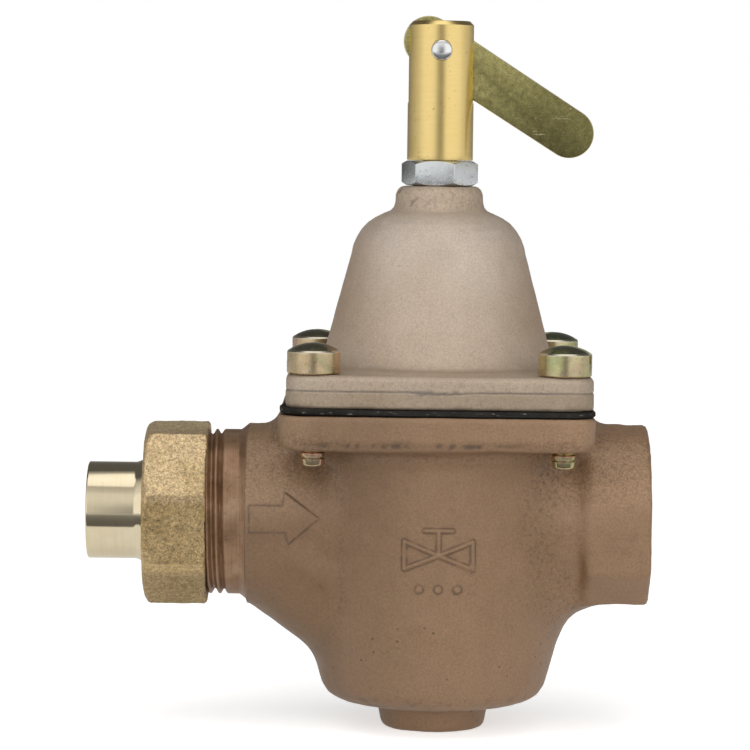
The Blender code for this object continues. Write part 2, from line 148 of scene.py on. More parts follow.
def sampled(f, xs, ys, zs, block=8):
    """The field on a grid, worked out fully only near its surface."""
    shape = (len(xs), len(ys), len(zs))
    starts = [np.arange(0, n, block) for n in shape]
    axes = (xs, ys, zs)
    mids, halves = [], []
    for s, a in zip(starts, axes):
        e = np.minimum(s + block, len(a)) - 1
        mids.append((a[s] + a[e]) / 2)
        halves.append((a[e] - a[s]) / 2)
    M = np.stack(np.meshgrid(*mids, indexing="ij"), -1).reshape(-1, 3)
    H = np.stack(np.meshgrid(*halves, indexing="ij"), -1).reshape(-1, 3)
    c = f(M)
    near = (np.abs(c) < np.linalg.norm(H, axis=1) * 1.1 + 1.2).reshape([len(s) for s in starts])
    c = c.reshape(near.shape)
    for axis, n in enumerate(shape):
        near = np.repeat(near, block, axis=axis).take(range(n), axis=axis)
        c = np.repeat(c, block, axis=axis).take(range(n), axis=axis)
    V = c.astype(np.float64)
    i, j, k = np.nonzero(near)
    out = np.empty(len(i))
    for a in range(0, len(i), 300000):
        b = slice(a, a + 300000)
        out[b] = f(np.stack([xs[i[b]], ys[j[b]], zs[k[b]]], 1))
    V[i, j, k] = out
    return V


def surface_nets(V, xs, ys, zs):
    nx, ny, nz = V.shape
    S = V < 0
    cells = (nx - 1) * (ny - 1) * (nz - 1)
    total = np.zeros((3, cells))
    count = np.zeros(cells)
    quads = []

    def cid(i, j, k):
        return (i * (ny - 1) + j) * (nz - 1) + k

    for axis in range(3):
        lo = [slice(None)] * 3
        hi = [slice(None)] * 3
        lo[axis], hi[axis] = slice(None, -1), slice(1, None)
        ijk = np.array(np.nonzero(S[tuple(lo)] != S[tuple(hi)]))
        nxt = ijk.copy()
        nxt[axis] += 1
        v0, v1 = V[tuple(ijk)], V[tuple(nxt)]
        t = v0 / (v0 - v1)
        p = np.stack([xs[ijk[0]], ys[ijk[1]], zs[ijk[2]]])
        a = (xs, ys, zs)[axis]
        p[axis] = a[ijk[axis]] + t * (a[nxt[axis]] - a[ijk[axis]])
        b, c = [q for q in range(3) if q != axis]
        size = (nx - 1, ny - 1, nz - 1)
        corner = []
        good = np.ones(len(t), bool)
        for db, dc in ((-1, -1), (0, -1), (0, 0), (-1, 0)):
            q = ijk.copy()
            q[b] += db
            q[c] += dc
            ok = (q[b] >= 0) & (q[b] < size[b]) & (q[c] >= 0) & (q[c] < size[c])
            good &= ok
            ids = cid(*q)
            ids = np.where(ok, ids, 0)
            corner.append(ids)
            w = ok.astype(float)
            for m in range(3):
                total[m] += np.bincount(ids, weights=p[m] * w, minlength=cells)
            count += np.bincount(ids, weights=w, minlength=cells)
        quad = np.stack(corner, 1)[good]
        out = (v0 < 0)[good]
        if axis == 1:
            out = ~out
        quad[~out] = quad[~out][:, ::-1]
        quads.append(quad)
    used = np.nonzero(count)[0]
    index = np.full(cells, -1)
    index[used] = np.arange(len(used))
    verts = (total[:, used] / count[used]).T
    return verts, index[np.concatenate(quads)]


def settle(P, f, rounds=3, most=0.4):
    """Moves points onto the field's surface. Returns the points and their outward normals."""
    e = 0.03
    for _ in range(rounds):
        g = gradient(P, f, e)
        d = f(P)
        P = P - g * np.clip(d, -most, most)[:, None]
    return P, gradient(P, f, e)


def gradient(P, f, e=0.03):
    g = np.empty_like(P)
    for m in range(3):
        s = np.zeros(3)
        s[m] = e
        g[:, m] = f(P + s) - f(P - s)
    return g / np.maximum(np.linalg.norm(g, axis=1, keepdims=True), 1e-9)


# ------------------------------------------------------------------ mesh helpers
def link(name, mesh):
    obj = bpy.data.objects.new(name, mesh)
    bpy.context.scene.collection.objects.link(obj)
    return obj


def mesh_object(name, verts, quads, smooth=True):
    """verts in millimetres."""
    mesh = bpy.data.meshes.new(name)
    verts = np.asarray(verts, float) * MM
    quads = np.asarray(quads)
    width = quads.shape[1]
    mesh.vertices.add(len(verts))
    mesh.vertices.foreach_set("co", verts.astype(np.float32).ravel())
    mesh.loops.add(quads.size)
    mesh.loops.foreach_set("vertex_index", quads.astype(np.int32).ravel())
    mesh.polygons.add(len(quads))
    mesh.polygons.foreach_set("loop_start", np.arange(0, quads.size, width, dtype=np.int32))
    mesh.update(calc_edges=True)
    mesh.validate()
    if smooth:
        mesh.shade_smooth()
    return link(name, mesh)


def add_values(obj, name, values):
    a = obj.data.attributes.new(name, "FLOAT", "POINT")
    a.data.foreach_set("value", np.asarray(values, np.float32))


def points_of(obj):
    co = np.empty(len(obj.data.vertices) * 3, np.float32)
    obj.data.vertices.foreach_get("co", co)
    return co.reshape(-1, 3).astype(float) / MM


def set_points(obj, P):
    obj.data.vertices.foreach_set("co", (np.asarray(P) * MM).astype(np.float32).ravel())
    obj.data.update()


def finish_bmesh(name, bm):
    bmesh.ops.remove_doubles(bm, verts=bm.verts, dist=1e-7)
    bmesh.ops.recalc_face_normals(bm, faces=bm.faces)
    mesh = bpy.data.meshes.new(name)
    bm.to_mesh(mesh)
    bm.free()
    return link(name, mesh)


def turned(name, profile, axis="Z", segments=96, at=(0, 0, 0), ring=False):
    bm = bmesh.new()
    verts = []
    for radius, height in profile:
        p = {"Z": (radius, 0.0, height), "X": (height, 0.0, radius), "Y": (radius, height, 0.0)}[axis]
        verts.append(bm.verts.new(Vector(p) * MM))
    edges = [bm.edges.new((a, b)) for a, b in zip(verts, verts[1:])]
    if ring:
        edges.append(bm.edges.new((verts[-1], verts[0])))
    direction = {"X": (1, 0, 0), "Y": (0, 1, 0), "Z": (0, 0, 1)}[axis]
    bmesh.ops.spin(bm, geom=verts + edges, cent=(0, 0, 0), axis=direction, angle=2 * math.pi, steps=segments, use_merge=True)
    obj = finish_bmesh(name, bm)
    obj.data.transform(Matrix.Translation(Vector(at) * MM))
    return obj


def prism(name, outline, low, high, axis="Z"):
    bm = bmesh.new()

    def place(u, v, w):
        return Vector({"Z": (u, v, w), "X": (w, u, v), "Y": (u, w, v)}[axis]) * MM

    face = bm.faces.new([bm.verts.new(place(u, v, low)) for u, v in outline])
    grown = bmesh.ops.extrude_face_region(bm, geom=[face])
    moved = [g for g in grown["geom"] if isinstance(g, bmesh.types.BMVert)]
    bmesh.ops.translate(bm, verts=moved, vec=place(0, 0, high) - place(0, 0, low))
    return finish_bmesh(name, bm)


def cylinder(name, radius, low, high, axis="Z", at=(0, 0, 0), segments=64):
    return turned(name, [(0, low), (radius, low), (radius, high), (0, high)], axis, segments, at)


def arc(cx, cy, radius, start, end, steps):
    return [
        (cx + radius * math.cos(math.radians(start + (end - start) * i / steps)), cy + radius * math.sin(math.radians(start + (end - start) * i / steps)))
        for i in range(steps + 1)
    ]


def polygon(sides, across_flats, turn):
    radius = across_flats / 2 / math.cos(math.pi / sides)
    return [(radius * math.cos(math.radians(turn) + 2 * math.pi * i / sides), radius * math.sin(math.radians(turn) + 2 * math.pi * i / sides)) for i in range(sides)]


def applied(obj):
    bpy.context.view_layer.update()
    graph = bpy.context.evaluated_depsgraph_get()
    mesh = bpy.data.meshes.new_from_object(obj.evaluated_get(graph), depsgraph=graph)
    obj.modifiers.clear()
    obj.data = mesh
    return obj


def boolean(obj, other, operation):
    m = obj.modifiers.new(operation.lower(), "BOOLEAN")
    m.operation = operation
    m.solver = "EXACT"
    m.object = other
    applied(obj)
    bpy.data.objects.remove(other, do_unlink=True)
    return obj


def cut(obj, *others):
    for other in others:
        boolean(obj, other, "DIFFERENCE")
    return obj


def bevel(obj, width, segments=2, angle=35):
    m = obj.modifiers.new("bevel", "BEVEL")
    m.width = width * MM
    m.segments = segments
    m.limit_method = "ANGLE"
    m.angle_limit = math.radians(angle)
    m.harden_normals = False
    return applied(obj)


def smooth(obj, angle=32):
    obj.data.shade_smooth()
    obj.data.set_sharp_from_angle(angle=math.radians(angle))
    return obj


def rounded(profile, radii):
    """A profile in (radius, height) with the given corners rounded. radii maps a corner's index to its radius."""
    out = []
    n = len(profile)
    for i, p in enumerate(profile):
        k = radii.get(i)
        if not k or i in (0, n - 1):
            out.append(p)
            continue
        a, b, c = (Vector(profile[i - 1]), Vector(p), Vector(profile[i + 1]))
        u, v = (a - b).normalized(), (c - b).normalized()
        half = math.acos(max(-1, min(1, u.dot(v)))) / 2
        t = min(k / math.tan(half), (a - b).length * 0.49, (c - b).length * 0.49)
        r = t * math.tan(half)
        centre = b + (u + v).normalized() * (r / math.sin(half))
        s, e = b + u * t - centre, b + v * t - centre
        sa, ea = math.atan2(s.y, s.x), math.atan2(e.y, e.x)
        while ea - sa > math.pi:
            ea -= 2 * math.pi
        while ea - sa < -math.pi:
            ea += 2 * math.pi
        steps = 5
        for q in range(steps + 1):
            g = sa + (ea - sa) * q / steps
            out.append((centre.x + r * math.cos(g), centre.y + r * math.sin(g)))
    return out


def threaded(name, axis, low, high, root, crest, pitch, inside=False, other=None, at=(0, 0, 0), segments=96, per_pitch=10, runout=1.0, taper=0.0, hand=1, ends=None):
    """A true helical thread between low and high, closed by a plain wall at radius other (0 for a solid bar)."""
    n = int((high - low) / pitch * per_pitch) + 1
    hs = np.linspace(low, high, n)
    th = np.linspace(0, 2 * math.pi, segments, endpoint=False)
    H, T = np.meshgrid(hs, th, indexing="ij")
    phase = (H / pitch - hand * T / (2 * math.pi)) % 1.0
    tri = 1 - np.abs(phase * 2 - 1)
    form = np.clip((tri - 0.12) / 0.76, 0, 1)
    form = form * form * (3 - 2 * form) * 0.35 + form * 0.65
    fade = np.clip((H - low) / runout, 0, 1) * np.clip((high - H) / runout, 0, 1)
    base = crest if inside else root
    R = base + (crest - root) * (form if not inside else -form) * fade + taper * (H - low)
    if inside:
        R = crest - (crest - root) * form * fade + taper * (H - low)
    rows = [np.stack([R * np.cos(T), R * np.sin(T), H], -1)]
    cap = 0.0 if other is None else other
    ring_lo = np.stack([np.full(segments, cap if cap else 1e-3) * np.cos(th), np.full(segments, cap if cap else 1e-3) * np.sin(th), np.full(segments, low)], -1)[None]
    ring_hi = ring_lo.copy()
    ring_hi[..., 2] = high
    G = np.concatenate([ring_lo, rows[0], ring_hi])
    m = len(G)
    idx = np.arange(m * segments).reshape(m, segments)
    nxt = np.roll(idx, -1, axis=1)
    quads = np.stack([idx[:-1], nxt[:-1], nxt[1:], idx[1:]], -1).reshape(-1, 4)
    closing = np.stack([idx[-1], nxt[-1], nxt[0], idx[0]], -1)
    quads = np.concatenate([quads, closing])
    if inside:
        quads = quads[:, ::-1]
    V = G.reshape(-1, 3)
    if axis == "X":
        V = V[:, [2, 0, 1]]
    V = V + np.array(at)
    obj = mesh_object(name, V, quads)
    return smooth(obj, 50)


def tube(name, path, radius, sides=14):
    """A wire of round section along a path in millimetres."""
    P = np.asarray(path, float)
    T = np.gradient(P, axis=0)
    T /= np.linalg.norm(T, axis=1, keepdims=True)
    up = np.array([0, 0, 1.0]) if abs(T[0, 2]) < 0.9 else np.array([1.0, 0, 0])
    rings = []
    for p, t in zip(P, T):
        a = np.cross(up, t)
        a /= np.linalg.norm(a)
        b = np.cross(t, a)
        g = np.linspace(0, 2 * math.pi, sides, endpoint=False)
        rings.append(p + radius * (np.cos(g)[:, None] * a + np.sin(g)[:, None] * b))
    V = np.concatenate(rings)
    n = len(P)
    idx = np.arange(n * sides).reshape(n, sides)
    nxt = np.roll(idx, -1, axis=1)
    quads = np.stack([idx[:-1], nxt[:-1], nxt[1:], idx[1:]], -1).reshape(-1, 4)
    mesh = bpy.data.meshes.new(name)
    mesh.from_pydata([tuple(v) for v in V * MM], [], [tuple(q) for q in quads.tolist()] + [tuple(idx[0][::-1].tolist()), tuple(idx[-1].tolist())])
    mesh.update()
    obj = link(name, mesh)
    return smooth(obj, 50)


def helix(radius, wire, low, high, turns, per_turn=40):
    closed = 2 * wire * 1.02
    free = (high - low - 2 * wire - 2 * closed * 0.75) / (turns - 1.5)
    out = []
    for i in range(int(turns * per_turn) + 1):
        t = turns * i / int(turns * per_turn)
        if t < 0.75:
            h = closed * t
        elif t > turns - 0.75:
            h = high - low - 2 * wire - closed * (turns - t)
        else:
            h = closed * 0.75 + free * (t - 0.75)
        a = 2 * math.pi * t
        out.append((radius * math.cos(a), radius * math.sin(a), low + wire + h))
    return np.array(out)


# ------------------------------------------------------------------ node materials
class Shade:
    """A Principled material and short calls for the nodes it uses."""

    def __init__(self, name, colour=(0.5, 0.5, 0.5), rough=0.5, metal=0.0, **inputs):
        self.m = bpy.data.materials.new(name)
        self.m.use_nodes = True
        self.t = self.m.node_tree
        self.b = self.t.nodes["Principled BSDF"]
        self.b.inputs["Base Color"].default_value = (*colour, 1)
        self.b.inputs["Roughness"].default_value = rough
        self.b.inputs["Metallic"].default_value = metal
        for key, value in inputs.items():
            self.b.inputs[key.replace("_", " ")].default_value = value
        self.coord = self.t.nodes.new("ShaderNodeTexCoord").outputs["Object"]
        self.normal = None

    def put(self, socket, value):
        if isinstance(value, bpy.types.NodeSocket):
            self.t.links.new(value, socket)
        elif value is not None:
            socket.default_value = value

    def scaled(self, x, y, z, source=None, rotate=(0, 0, 0)):
        n = self.t.nodes.new("ShaderNodeMapping")
        self.put(n.inputs["Vector"], source or self.coord)
        n.inputs["Scale"].default_value = (x, y, z)
        n.inputs["Rotation"].default_value = rotate
        return n.outputs["Vector"]

    def noise(self, feature_mm, detail=3.0, rough=0.55, vector=None, distortion=0.0):
        n = self.t.nodes.new("ShaderNodeTexNoise")
        self.put(n.inputs["Vector"], vector or self.coord)
        n.inputs["Scale"].default_value = 1000.0 / feature_mm
        n.inputs["Detail"].default_value = detail
        n.inputs["Roughness"].default_value = rough
        n.inputs["Distortion"].default_value = distortion
        return n.outputs["Fac"]

    def cells(self, feature_mm, vector=None, feature="F1", out="Distance"):
        n = self.t.nodes.new("ShaderNodeTexVoronoi")
        self.put(n.inputs["Vector"], vector or self.coord)
        n.feature = feature
        n.inputs["Scale"].default_value = 1000.0 / feature_mm
        return n.outputs[out]

    def ramp(self, fac, *stops):
        n = self.t.nodes.new("ShaderNodeValToRGB")
        self.put(n.inputs["Fac"], fac)
        e = n.color_ramp.elements
        while len(e) > 1:
            e.remove(e[-1])
        for i, (p, c) in enumerate(stops):
            c = (c, c, c, 1) if isinstance(c, (int, float)) else (*c, 1)
            if i == 0:
                e[0].position, e[0].color = p, c
            else:
                x = e.new(p)
                x.color = c
        return n.outputs["Color"]

    def mix(self, fac, a, b, kind="MIX"):
        n = self.t.nodes.new("ShaderNodeMix")
        n.data_type = "RGBA"
        n.blend_type = kind
        self.put(n.inputs[0], fac)
        self.put(n.inputs[6], a if isinstance(a, bpy.types.NodeSocket) else (*a, 1) if not isinstance(a, (int, float)) else (a, a, a, 1))
        self.put(n.inputs[7], b if isinstance(b, bpy.types.NodeSocket) else (*b, 1) if not isinstance(b, (int, float)) else (b, b, b, 1))
        return n.outputs[2]

    def math(self, kind, a, b=None, c=None, clamp=False):
        n = self.t.nodes.new("ShaderNodeMath")
        n.operation = kind
        n.use_clamp = clamp
        self.put(n.inputs[0], a)
        self.put(n.inputs[1], b)
        if c is not None:
            self.put(n.inputs[2], c)
        return n.outputs[0]

    def value(self, name):
        n = self.t.nodes.new("ShaderNodeAttribute")
        n.attribute_name = name
        return n.outputs["Fac"]

    def axis(self, which, source=None):
        n = self.t.nodes.new("ShaderNodeSeparateXYZ")
        self.put(n.inputs[0], source or self.coord)
        return n.outputs[which]

    def bump(self, height, depth_mm, strength=1.0):
        n = self.t.nodes.new("ShaderNodeBump")
        self.put(n.inputs["Height"], height)
        n.inputs["Distance"].default_value = depth_mm * MM
        self.put(n.inputs["Strength"], strength)
        if self.normal is not None:
            self.put(n.inputs["Normal"], self.normal)
        self.normal = n.outputs["Normal"]

    def done(self, colour=None, rough=None, metal=None):
        if colour is not None:
            self.put(self.b.inputs["Base Color"], colour)
        if rough is not None:
            self.put(self.b.inputs["Roughness"], rough)
        if metal is not None:
            self.put(self.b.inputs["Metallic"], metal)
        if self.normal is not None:
            self.put(self.b.inputs["Normal"], self.normal)
        return self.m


def cast_bronze():
    s = Shade("cast_bronze", metal=0.4)
    large = s.noise(14, 3, 0.6)
    mid = s.noise(2.6, 4, 0.6)
    grain = s.noise(0.42, 3, 0.6)
    pits = s.cells(1.7)
    rough, crease_shade = s.value("rough_zone"), s.value("crease_shade")
    base = s.ramp(large, (0.3, (0.256, 0.153, 0.085)), (0.52, (0.28, 0.169, 0.095)), (0.72, (0.306, 0.187, 0.108)))
    # painted shade: the body's left side is darker and its right side a little lighter
    base = s.mix(1.0, base, s.ramp(s.math("MULTIPLY_ADD", s.axis(0), 20.0, 0.5, True), (0.0, 0.82), (0.3, 0.86), (0.46, 0.98), (1.0, 1.05)), "MULTIPLY")
    # painted light: the skin is made paler round the inlet neck and under the outlet's shoulder
    painted_light = s.math("MULTIPLY", s.ramp(s.math("MULTIPLY_ADD", s.axis(0), 10.0, 0.5, True), (0.12, 1.0), (0.22, 0.9), (0.28, 0.0), (0.7, 0.0), (0.77, 0.42)), s.ramp(s.math("MULTIPLY", s.axis(2), 10.0), (0.4, 0.0), (0.47, 1.0)))
    base = s.mix(painted_light, base, s.mix(1.0, base, (1.36, 1.42, 1.48), "MULTIPLY"))
    low = s.math("MULTIPLY", s.ramp(s.math("MULTIPLY_ADD", s.axis(0), 20.0, 0.5, True), (0.08, 1.0), (0.17, 0.0)), s.ramp(s.math("MULTIPLY", s.axis(2), 10.0), (0.3, 1.0), (0.37, 0.0)))
    base = s.mix(low, base, s.mix(1.0, base, (0.9, 0.87, 0.8), "MULTIPLY"))
    fine = s.ramp(mid, (0.3, 0.94), (0.5, 1.0), (0.7, 1.04))
    base = s.mix(1.0, base, fine, "MULTIPLY")
    sand = s.ramp(grain, (0.28, 0.66), (0.5, 1.0), (0.74, 1.34))
    base = s.mix(s.math("MULTIPLY_ADD", rough, 0.5, 0.5, True), base, s.mix(1.0, base, sand, "MULTIPLY"))
    dark = s.mix(1.0, base, (0.5, 0.47, 0.44), "MULTIPLY")
    speck = s.ramp(s.noise(0.8, 4, 0.7), (0.5, 0.0), (0.62, 1.0))
    # the rough zones darken, and painted shade darkens the fillet creases, both in specks
    amount = s.math("MULTIPLY", s.math("MULTIPLY_ADD", rough, 0.46, s.math("MULTIPLY", crease_shade, 0.55), True), s.math("MULTIPLY_ADD", speck, 0.8, 0.2))
    base = s.mix(amount, base, dark)
    stain = s.ramp(s.noise(5.0, 5, 0.7, distortion=0.6), (0.64, 0.0), (0.76, 0.25))
    base = s.mix(stain, base, s.mix(1.0, base, (0.7, 0.66, 0.62), "MULTIPLY"))
    pit = s.ramp(pits, (0.0, 1.0), (0.09, 1.0), (0.16, 0.0))
    pit = s.math("MULTIPLY", pit, s.math("MULTIPLY", s.ramp(s.noise(6, 2), (0.5, 0.0), (0.57, 1.0)), s.ramp(s.math("MULTIPLY", s.axis(2), 10.0), (0.2, 1.0), (0.31, 0.25), (0.42, 0.06))))
    base = s.mix(s.math("MULTIPLY", pit, 0.8), base, (0.07, 0.045, 0.03))
    # real pits along the flange edge and low down, with painted shade along the outlines of the cast marks
    base = s.mix(s.value("dirt_and_shade"), base, (0.075, 0.055, 0.045))
    s.bump(s.noise(1.3, 3, 0.5), 0.05, 0.7)
    s.bump(grain, 0.045, s.math("MULTIPLY_ADD", rough, 0.7, 0.42))
    s.bump(s.math("MULTIPLY", pit, -1.0), 0.12, 0.8)
    s.b.inputs["Coat Weight"].default_value = 0.3
    s.b.inputs["Coat Roughness"].default_value = 0.3
    return s.done(base, s.ramp(mid, (0.3, 0.5), (0.7, 0.64)), s.ramp(large, (0.3, 0.38), (0.7, 0.48)))


def bell_bronze():
    s = Shade("housing_bronze", metal=0.6)
    large, mid, grain = s.noise(18, 3, 0.6), s.noise(2.2, 4, 0.6), s.noise(0.34, 3, 0.6)
    base = s.ramp(large, (0.3, (0.475, 0.375, 0.282)), (0.5, (0.512, 0.412, 0.318)), (0.72, (0.55, 0.452, 0.358)))
    base = s.mix(1.0, base, s.ramp(mid, (0.3, 0.94), (0.7, 1.05)), "MULTIPLY")
    base = s.mix(0.8, base, s.mix(1.0, base, s.ramp(grain, (0.3, 0.82), (0.5, 1.0), (0.7, 1.16)), "MULTIPLY"))
    crease_shade, rough = s.value("crease_shade"), s.value("rough_zone")
    # painted shade darkens the fillet between the bell and its plate
    base = s.mix(s.math("MULTIPLY", crease_shade, 0.45), base, s.mix(1.0, base, (0.68, 0.64, 0.58), "MULTIPLY"))
    dust = s.ramp(s.noise(0.7, 4, 0.7), (0.5, 0.0), (0.66, 0.8))
    base = s.mix(s.math("MULTIPLY", dust, rough), base, (0.19, 0.15, 0.115))
    # short dark scuffs that run round the bell
    scuff = s.noise(1.2, 4, 0.7, vector=s.scaled(0.16, 0.16, 2.2, rotate=(0.12, 0.05, 0)))
    scuff = s.math("MULTIPLY", s.ramp(scuff, (0.67, 0.0), (0.72, 0.8)), s.ramp(s.noise(9, 2), (0.5, 0.0), (0.58, 1.0)))
    base = s.mix(scuff, base, (0.2, 0.17, 0.15))
    # painted shade: the plate below its parting line is darker, the bell above the plate a little lighter
    base = s.mix(1.0, base, s.ramp(s.math("MULTIPLY", s.axis(2), 10.0), (0.64, (0.8, 0.785, 0.74)), (0.667, (0.8, 0.785, 0.74)), (0.6705, (0.96, 0.96, 0.96)), (0.715, (0.96, 0.96, 0.96)), (0.73, (1.02, 1.02, 1.03))), "MULTIPLY")
    # painted highlight: the upper bell and shoulder lighter and bluer, fading off at the neck
    base = s.mix(1.0, base, s.ramp(s.math("MULTIPLY", s.axis(2), 8.0), (0.6, (0.99, 0.99, 0.99)), (0.7, (1.03, 1.045, 1.07)), (0.77, (1.09, 1.14, 1.22)), (0.79, (1.06, 1.1, 1.15)), (0.808, (0.96, 0.95, 0.93))), "MULTIPLY")
    # painted shade on the bell's left and right flanks above the plate
    painted_flank_shade = s.ramp(s.math("MULTIPLY", s.math("ABSOLUTE", s.axis(0)), 30.0), (0.3, 0.0), (0.56, 1.0))
    painted_flank_shade = s.math("MULTIPLY", painted_flank_shade, s.ramp(s.math("MULTIPLY", s.axis(2), 10.0), (0.71, 0.0), (0.79, 1.0)))
    base = s.mix(painted_flank_shade, base, s.mix(1.0, base, (0.88, 0.82, 0.76), "MULTIPLY"))
    seam = s.value("seam")
    base = s.mix(seam, base, (0.17, 0.155, 0.15))
    # real pits on the crown, and darker patches along the plate's lower edge
    base = s.mix(s.value("dirt_and_shade"), base, (0.13, 0.09, 0.065))
    s.bump(s.noise(1.1, 3, 0.5), 0.03, 0.6)
    s.bump(grain, 0.03, 0.75)
    s.bump(s.math("MULTIPLY", scuff, -1.0), 0.03, 0.5)
    return s.done(base, s.ramp(mid, (0.3, 0.56), (0.7, 0.68)))


def machined_bronze():
    s = Shade("machined_bronze", metal=0.75)
    rings = s.noise(0.5, 3, 0.6, vector=s.scaled(3.0, 0.05, 0.05))
    large = s.noise(5, 4, 0.6)
    base = s.ramp(large, (0.3, (0.24, 0.14, 0.078)), (0.5, (0.33, 0.2, 0.118)), (0.72, (0.42, 0.28, 0.18)))
    base = s.mix(1.0, base, s.ramp(rings, (0.3, 0.86), (0.7, 1.12)), "MULTIPLY")
    base = s.mix(s.ramp(s.noise(0.9, 4, 0.7), (0.6, 0.0), (0.7, 0.7)), base, (0.09, 0.06, 0.045))
    s.bump(rings, 0.02, 0.8)
    s.bump(s.noise(0.6, 3, 0.5), 0.012, 0.5)
    return s.done(base, s.ramp(large, (0.3, 0.36), (0.7, 0.5)))


def rough_brass():
    s = Shade("union_brass", metal=0.9)
    large, mid = s.noise(9, 3, 0.6), s.noise(0.9, 4, 0.65)
    grain, flake = s.noise(0.33, 3, 0.7), s.cells(0.42, out="Color")
    base = s.ramp(large, (0.3, (0.63, 0.465, 0.25)), (0.5, (0.73, 0.545, 0.31)), (0.72, (0.81, 0.615, 0.37)))
    base = s.mix(1.0, base, s.ramp(mid, (0.28, 0.66), (0.5, 1.0), (0.72, 1.25)), "MULTIPLY")
    base = s.mix(0.85, base, s.mix(1.0, base, s.ramp(grain, (0.3, 0.45), (0.5, 1.0), (0.7, 1.6)), "MULTIPLY"))
    # painted light and shade: the nut's lower facets darker, its top facet lighter and bluer
    base = s.mix(1.0, base, s.ramp(s.math("MULTIPLY", s.axis(2), 10.0), (0.3, (0.58, 0.57, 0.52)), (0.316, (0.84, 0.82, 0.74)), (0.44, (0.86, 0.83, 0.72)), (0.45, (1.0, 1.0, 1.0)), (0.571, (1.0, 1.0, 1.0)), (0.577, (1.36, 1.42, 1.5))), "MULTIPLY")
    base = s.mix(s.ramp(s.noise(0.55, 4, 0.75), (0.58, 0.0), (0.68, 0.7)), base, (0.16, 0.12, 0.07))
    s.bump(mid, 0.09, 0.7)
    s.bump(grain, 0.06, 0.85)
    facet = s.t.nodes.new("ShaderNodeRGBToBW")
    s.put(facet.inputs[0], flake)
    return s.done(base, s.ramp(facet.outputs[0], (0.2, 0.34), (0.8, 0.6)))


def brass(name, low, high, rough, lines, depth=0.008, speck=0.0, axis="Z"):
    """Turned brass: fine tool marks round its axis, faint clouding and a few marks."""
    s = Shade(name, metal=1.0)
    stretch = {"Z": (0.04, 0.04, 1.0), "X": (1.0, 0.04, 0.04), "Y": (0.04, 1.0, 0.04)}[axis]
    marks = s.noise(lines, 4, 0.7, vector=s.scaled(*stretch))
    cloud = s.noise(6, 4, 0.6)
    base = s.ramp(cloud, (0.3, low), (0.7, high))
    base = s.mix(1.0, base, s.ramp(marks, (0.3, 0.965), (0.7, 1.025)), "MULTIPLY")
    if speck:
        spots = s.math("MULTIPLY", s.ramp(s.noise(0.5, 3, 0.6), (0.66, 0.0), (0.7, 1.0)), s.ramp(s.noise(4, 3), (0.5, 0.0), (0.6, speck)))
        base = s.mix(spots, base, (0.2, 0.14, 0.07))
    s.bump(marks, depth, 0.6)
    s.bump(s.noise(0.35, 2, 0.5), 0.004, 0.4)
    return s.done(base, s.ramp(cloud, (0.3, rough * 0.85), (0.7, rough * 1.2)))


def lever_brass():
    s = Shade("lever_brass", metal=1.0)
    cloud, mid, grain = s.noise(7, 4, 0.6), s.noise(1.1, 5, 0.65), s.noise(0.3, 3, 0.6)
    base = s.ramp(cloud, (0.3, (0.4, 0.36, 0.14)), (0.7, (0.52, 0.465, 0.195)))
    base = s.mix(1.0, base, s.ramp(mid, (0.3, 0.72), (0.7, 1.3)), "MULTIPLY")
    base = s.mix(1.0, base, s.ramp(grain, (0.3, 0.78), (0.7, 1.22)), "MULTIPLY")
    scratches = None
    for turn, size in ((0.5, 0.9), (1.9, 1.1), (2.7, 0.8), (-0.5, 1.3)):
        v = s.scaled(0.12, 1.0, 3.6, rotate=(0, turn, 0))
        one = s.math("MULTIPLY", s.ramp(s.noise(size, 2, 0.5, vector=v), (0.715, 0.0), (0.735, 1.0)), s.ramp(s.noise(2.2, 2), (0.5, 0.0), (0.56, 1.0)))
        scratches = one if scratches is None else s.math("MAXIMUM", scratches, one)
    # painted shade: darker toward the lever's far end
    base = s.mix(s.ramp(s.axis(0), (0.009, 0.0), (0.0225, 0.92)), base, s.mix(1.0, base, (0.42, 0.42, 0.4), "MULTIPLY"))
    base = s.mix(scratches, base, (0.9, 0.82, 0.5))
    flecks = s.ramp(s.noise(0.4, 2, 0.6), (0.68, 0.0), (0.72, 0.8))
    base = s.mix(flecks, base, (0.8, 0.72, 0.42))
    # painted highlight: the rubbed rim and edges are brighter than the faces
    base = s.mix(s.ramp(s.math("MULTIPLY", s.math("ABSOLUTE", s.axis(1)), 800.0), (0.86, 0.85), (0.905, 0.0)), base, (0.9, 0.8, 0.46))
    s.bump(mid, 0.02, 0.5)
    s.bump(grain, 0.012, 0.8)
    s.bump(s.math("MULTIPLY", scratches, -1.0), 0.02, 0.6)
    return s.done(base, s.ramp(mid, (0.3, 0.26), (0.7, 0.36)))


def zinc(name="zinc_plate", dents=True):
    s = Shade(name, metal=1.0)
    cloud, mid = s.noise(4, 4, 0.6), s.noise(1.3, 4, 0.7, distortion=0.8)
    base = s.ramp(cloud, (0.3, (0.72, 0.75, 0.76)), (0.7, (0.82, 0.85, 0.86)))
    # painted shade: the nut's left facet is near black
    shade = s.math("MULTIPLY", s.axis(0), -1.0)
    base = s.mix(s.ramp(shade, (0.0047, 0.0), (0.005, 0.96), (0.0067, 0.96), (0.0075, 0.82)), base, (0.035, 0.037, 0.038))
    base = s.mix(s.ramp(mid, (0.64, 0.0), (0.72, 0.7)), base, (0.3, 0.31, 0.33))
    if dents:
        s.bump(s.ramp(mid, (0.55, 0.0), (0.75, 1.0)), 0.09, 0.7)
        s.bump(s.noise(2.4, 2, 0.5), 0.06, 0.6)
    s.bump(s.noise(0.35, 3, 0.6), 0.006, 0.7)
    return s.done(base, s.ramp(cloud, (0.3, 0.2), (0.7, 0.34)))


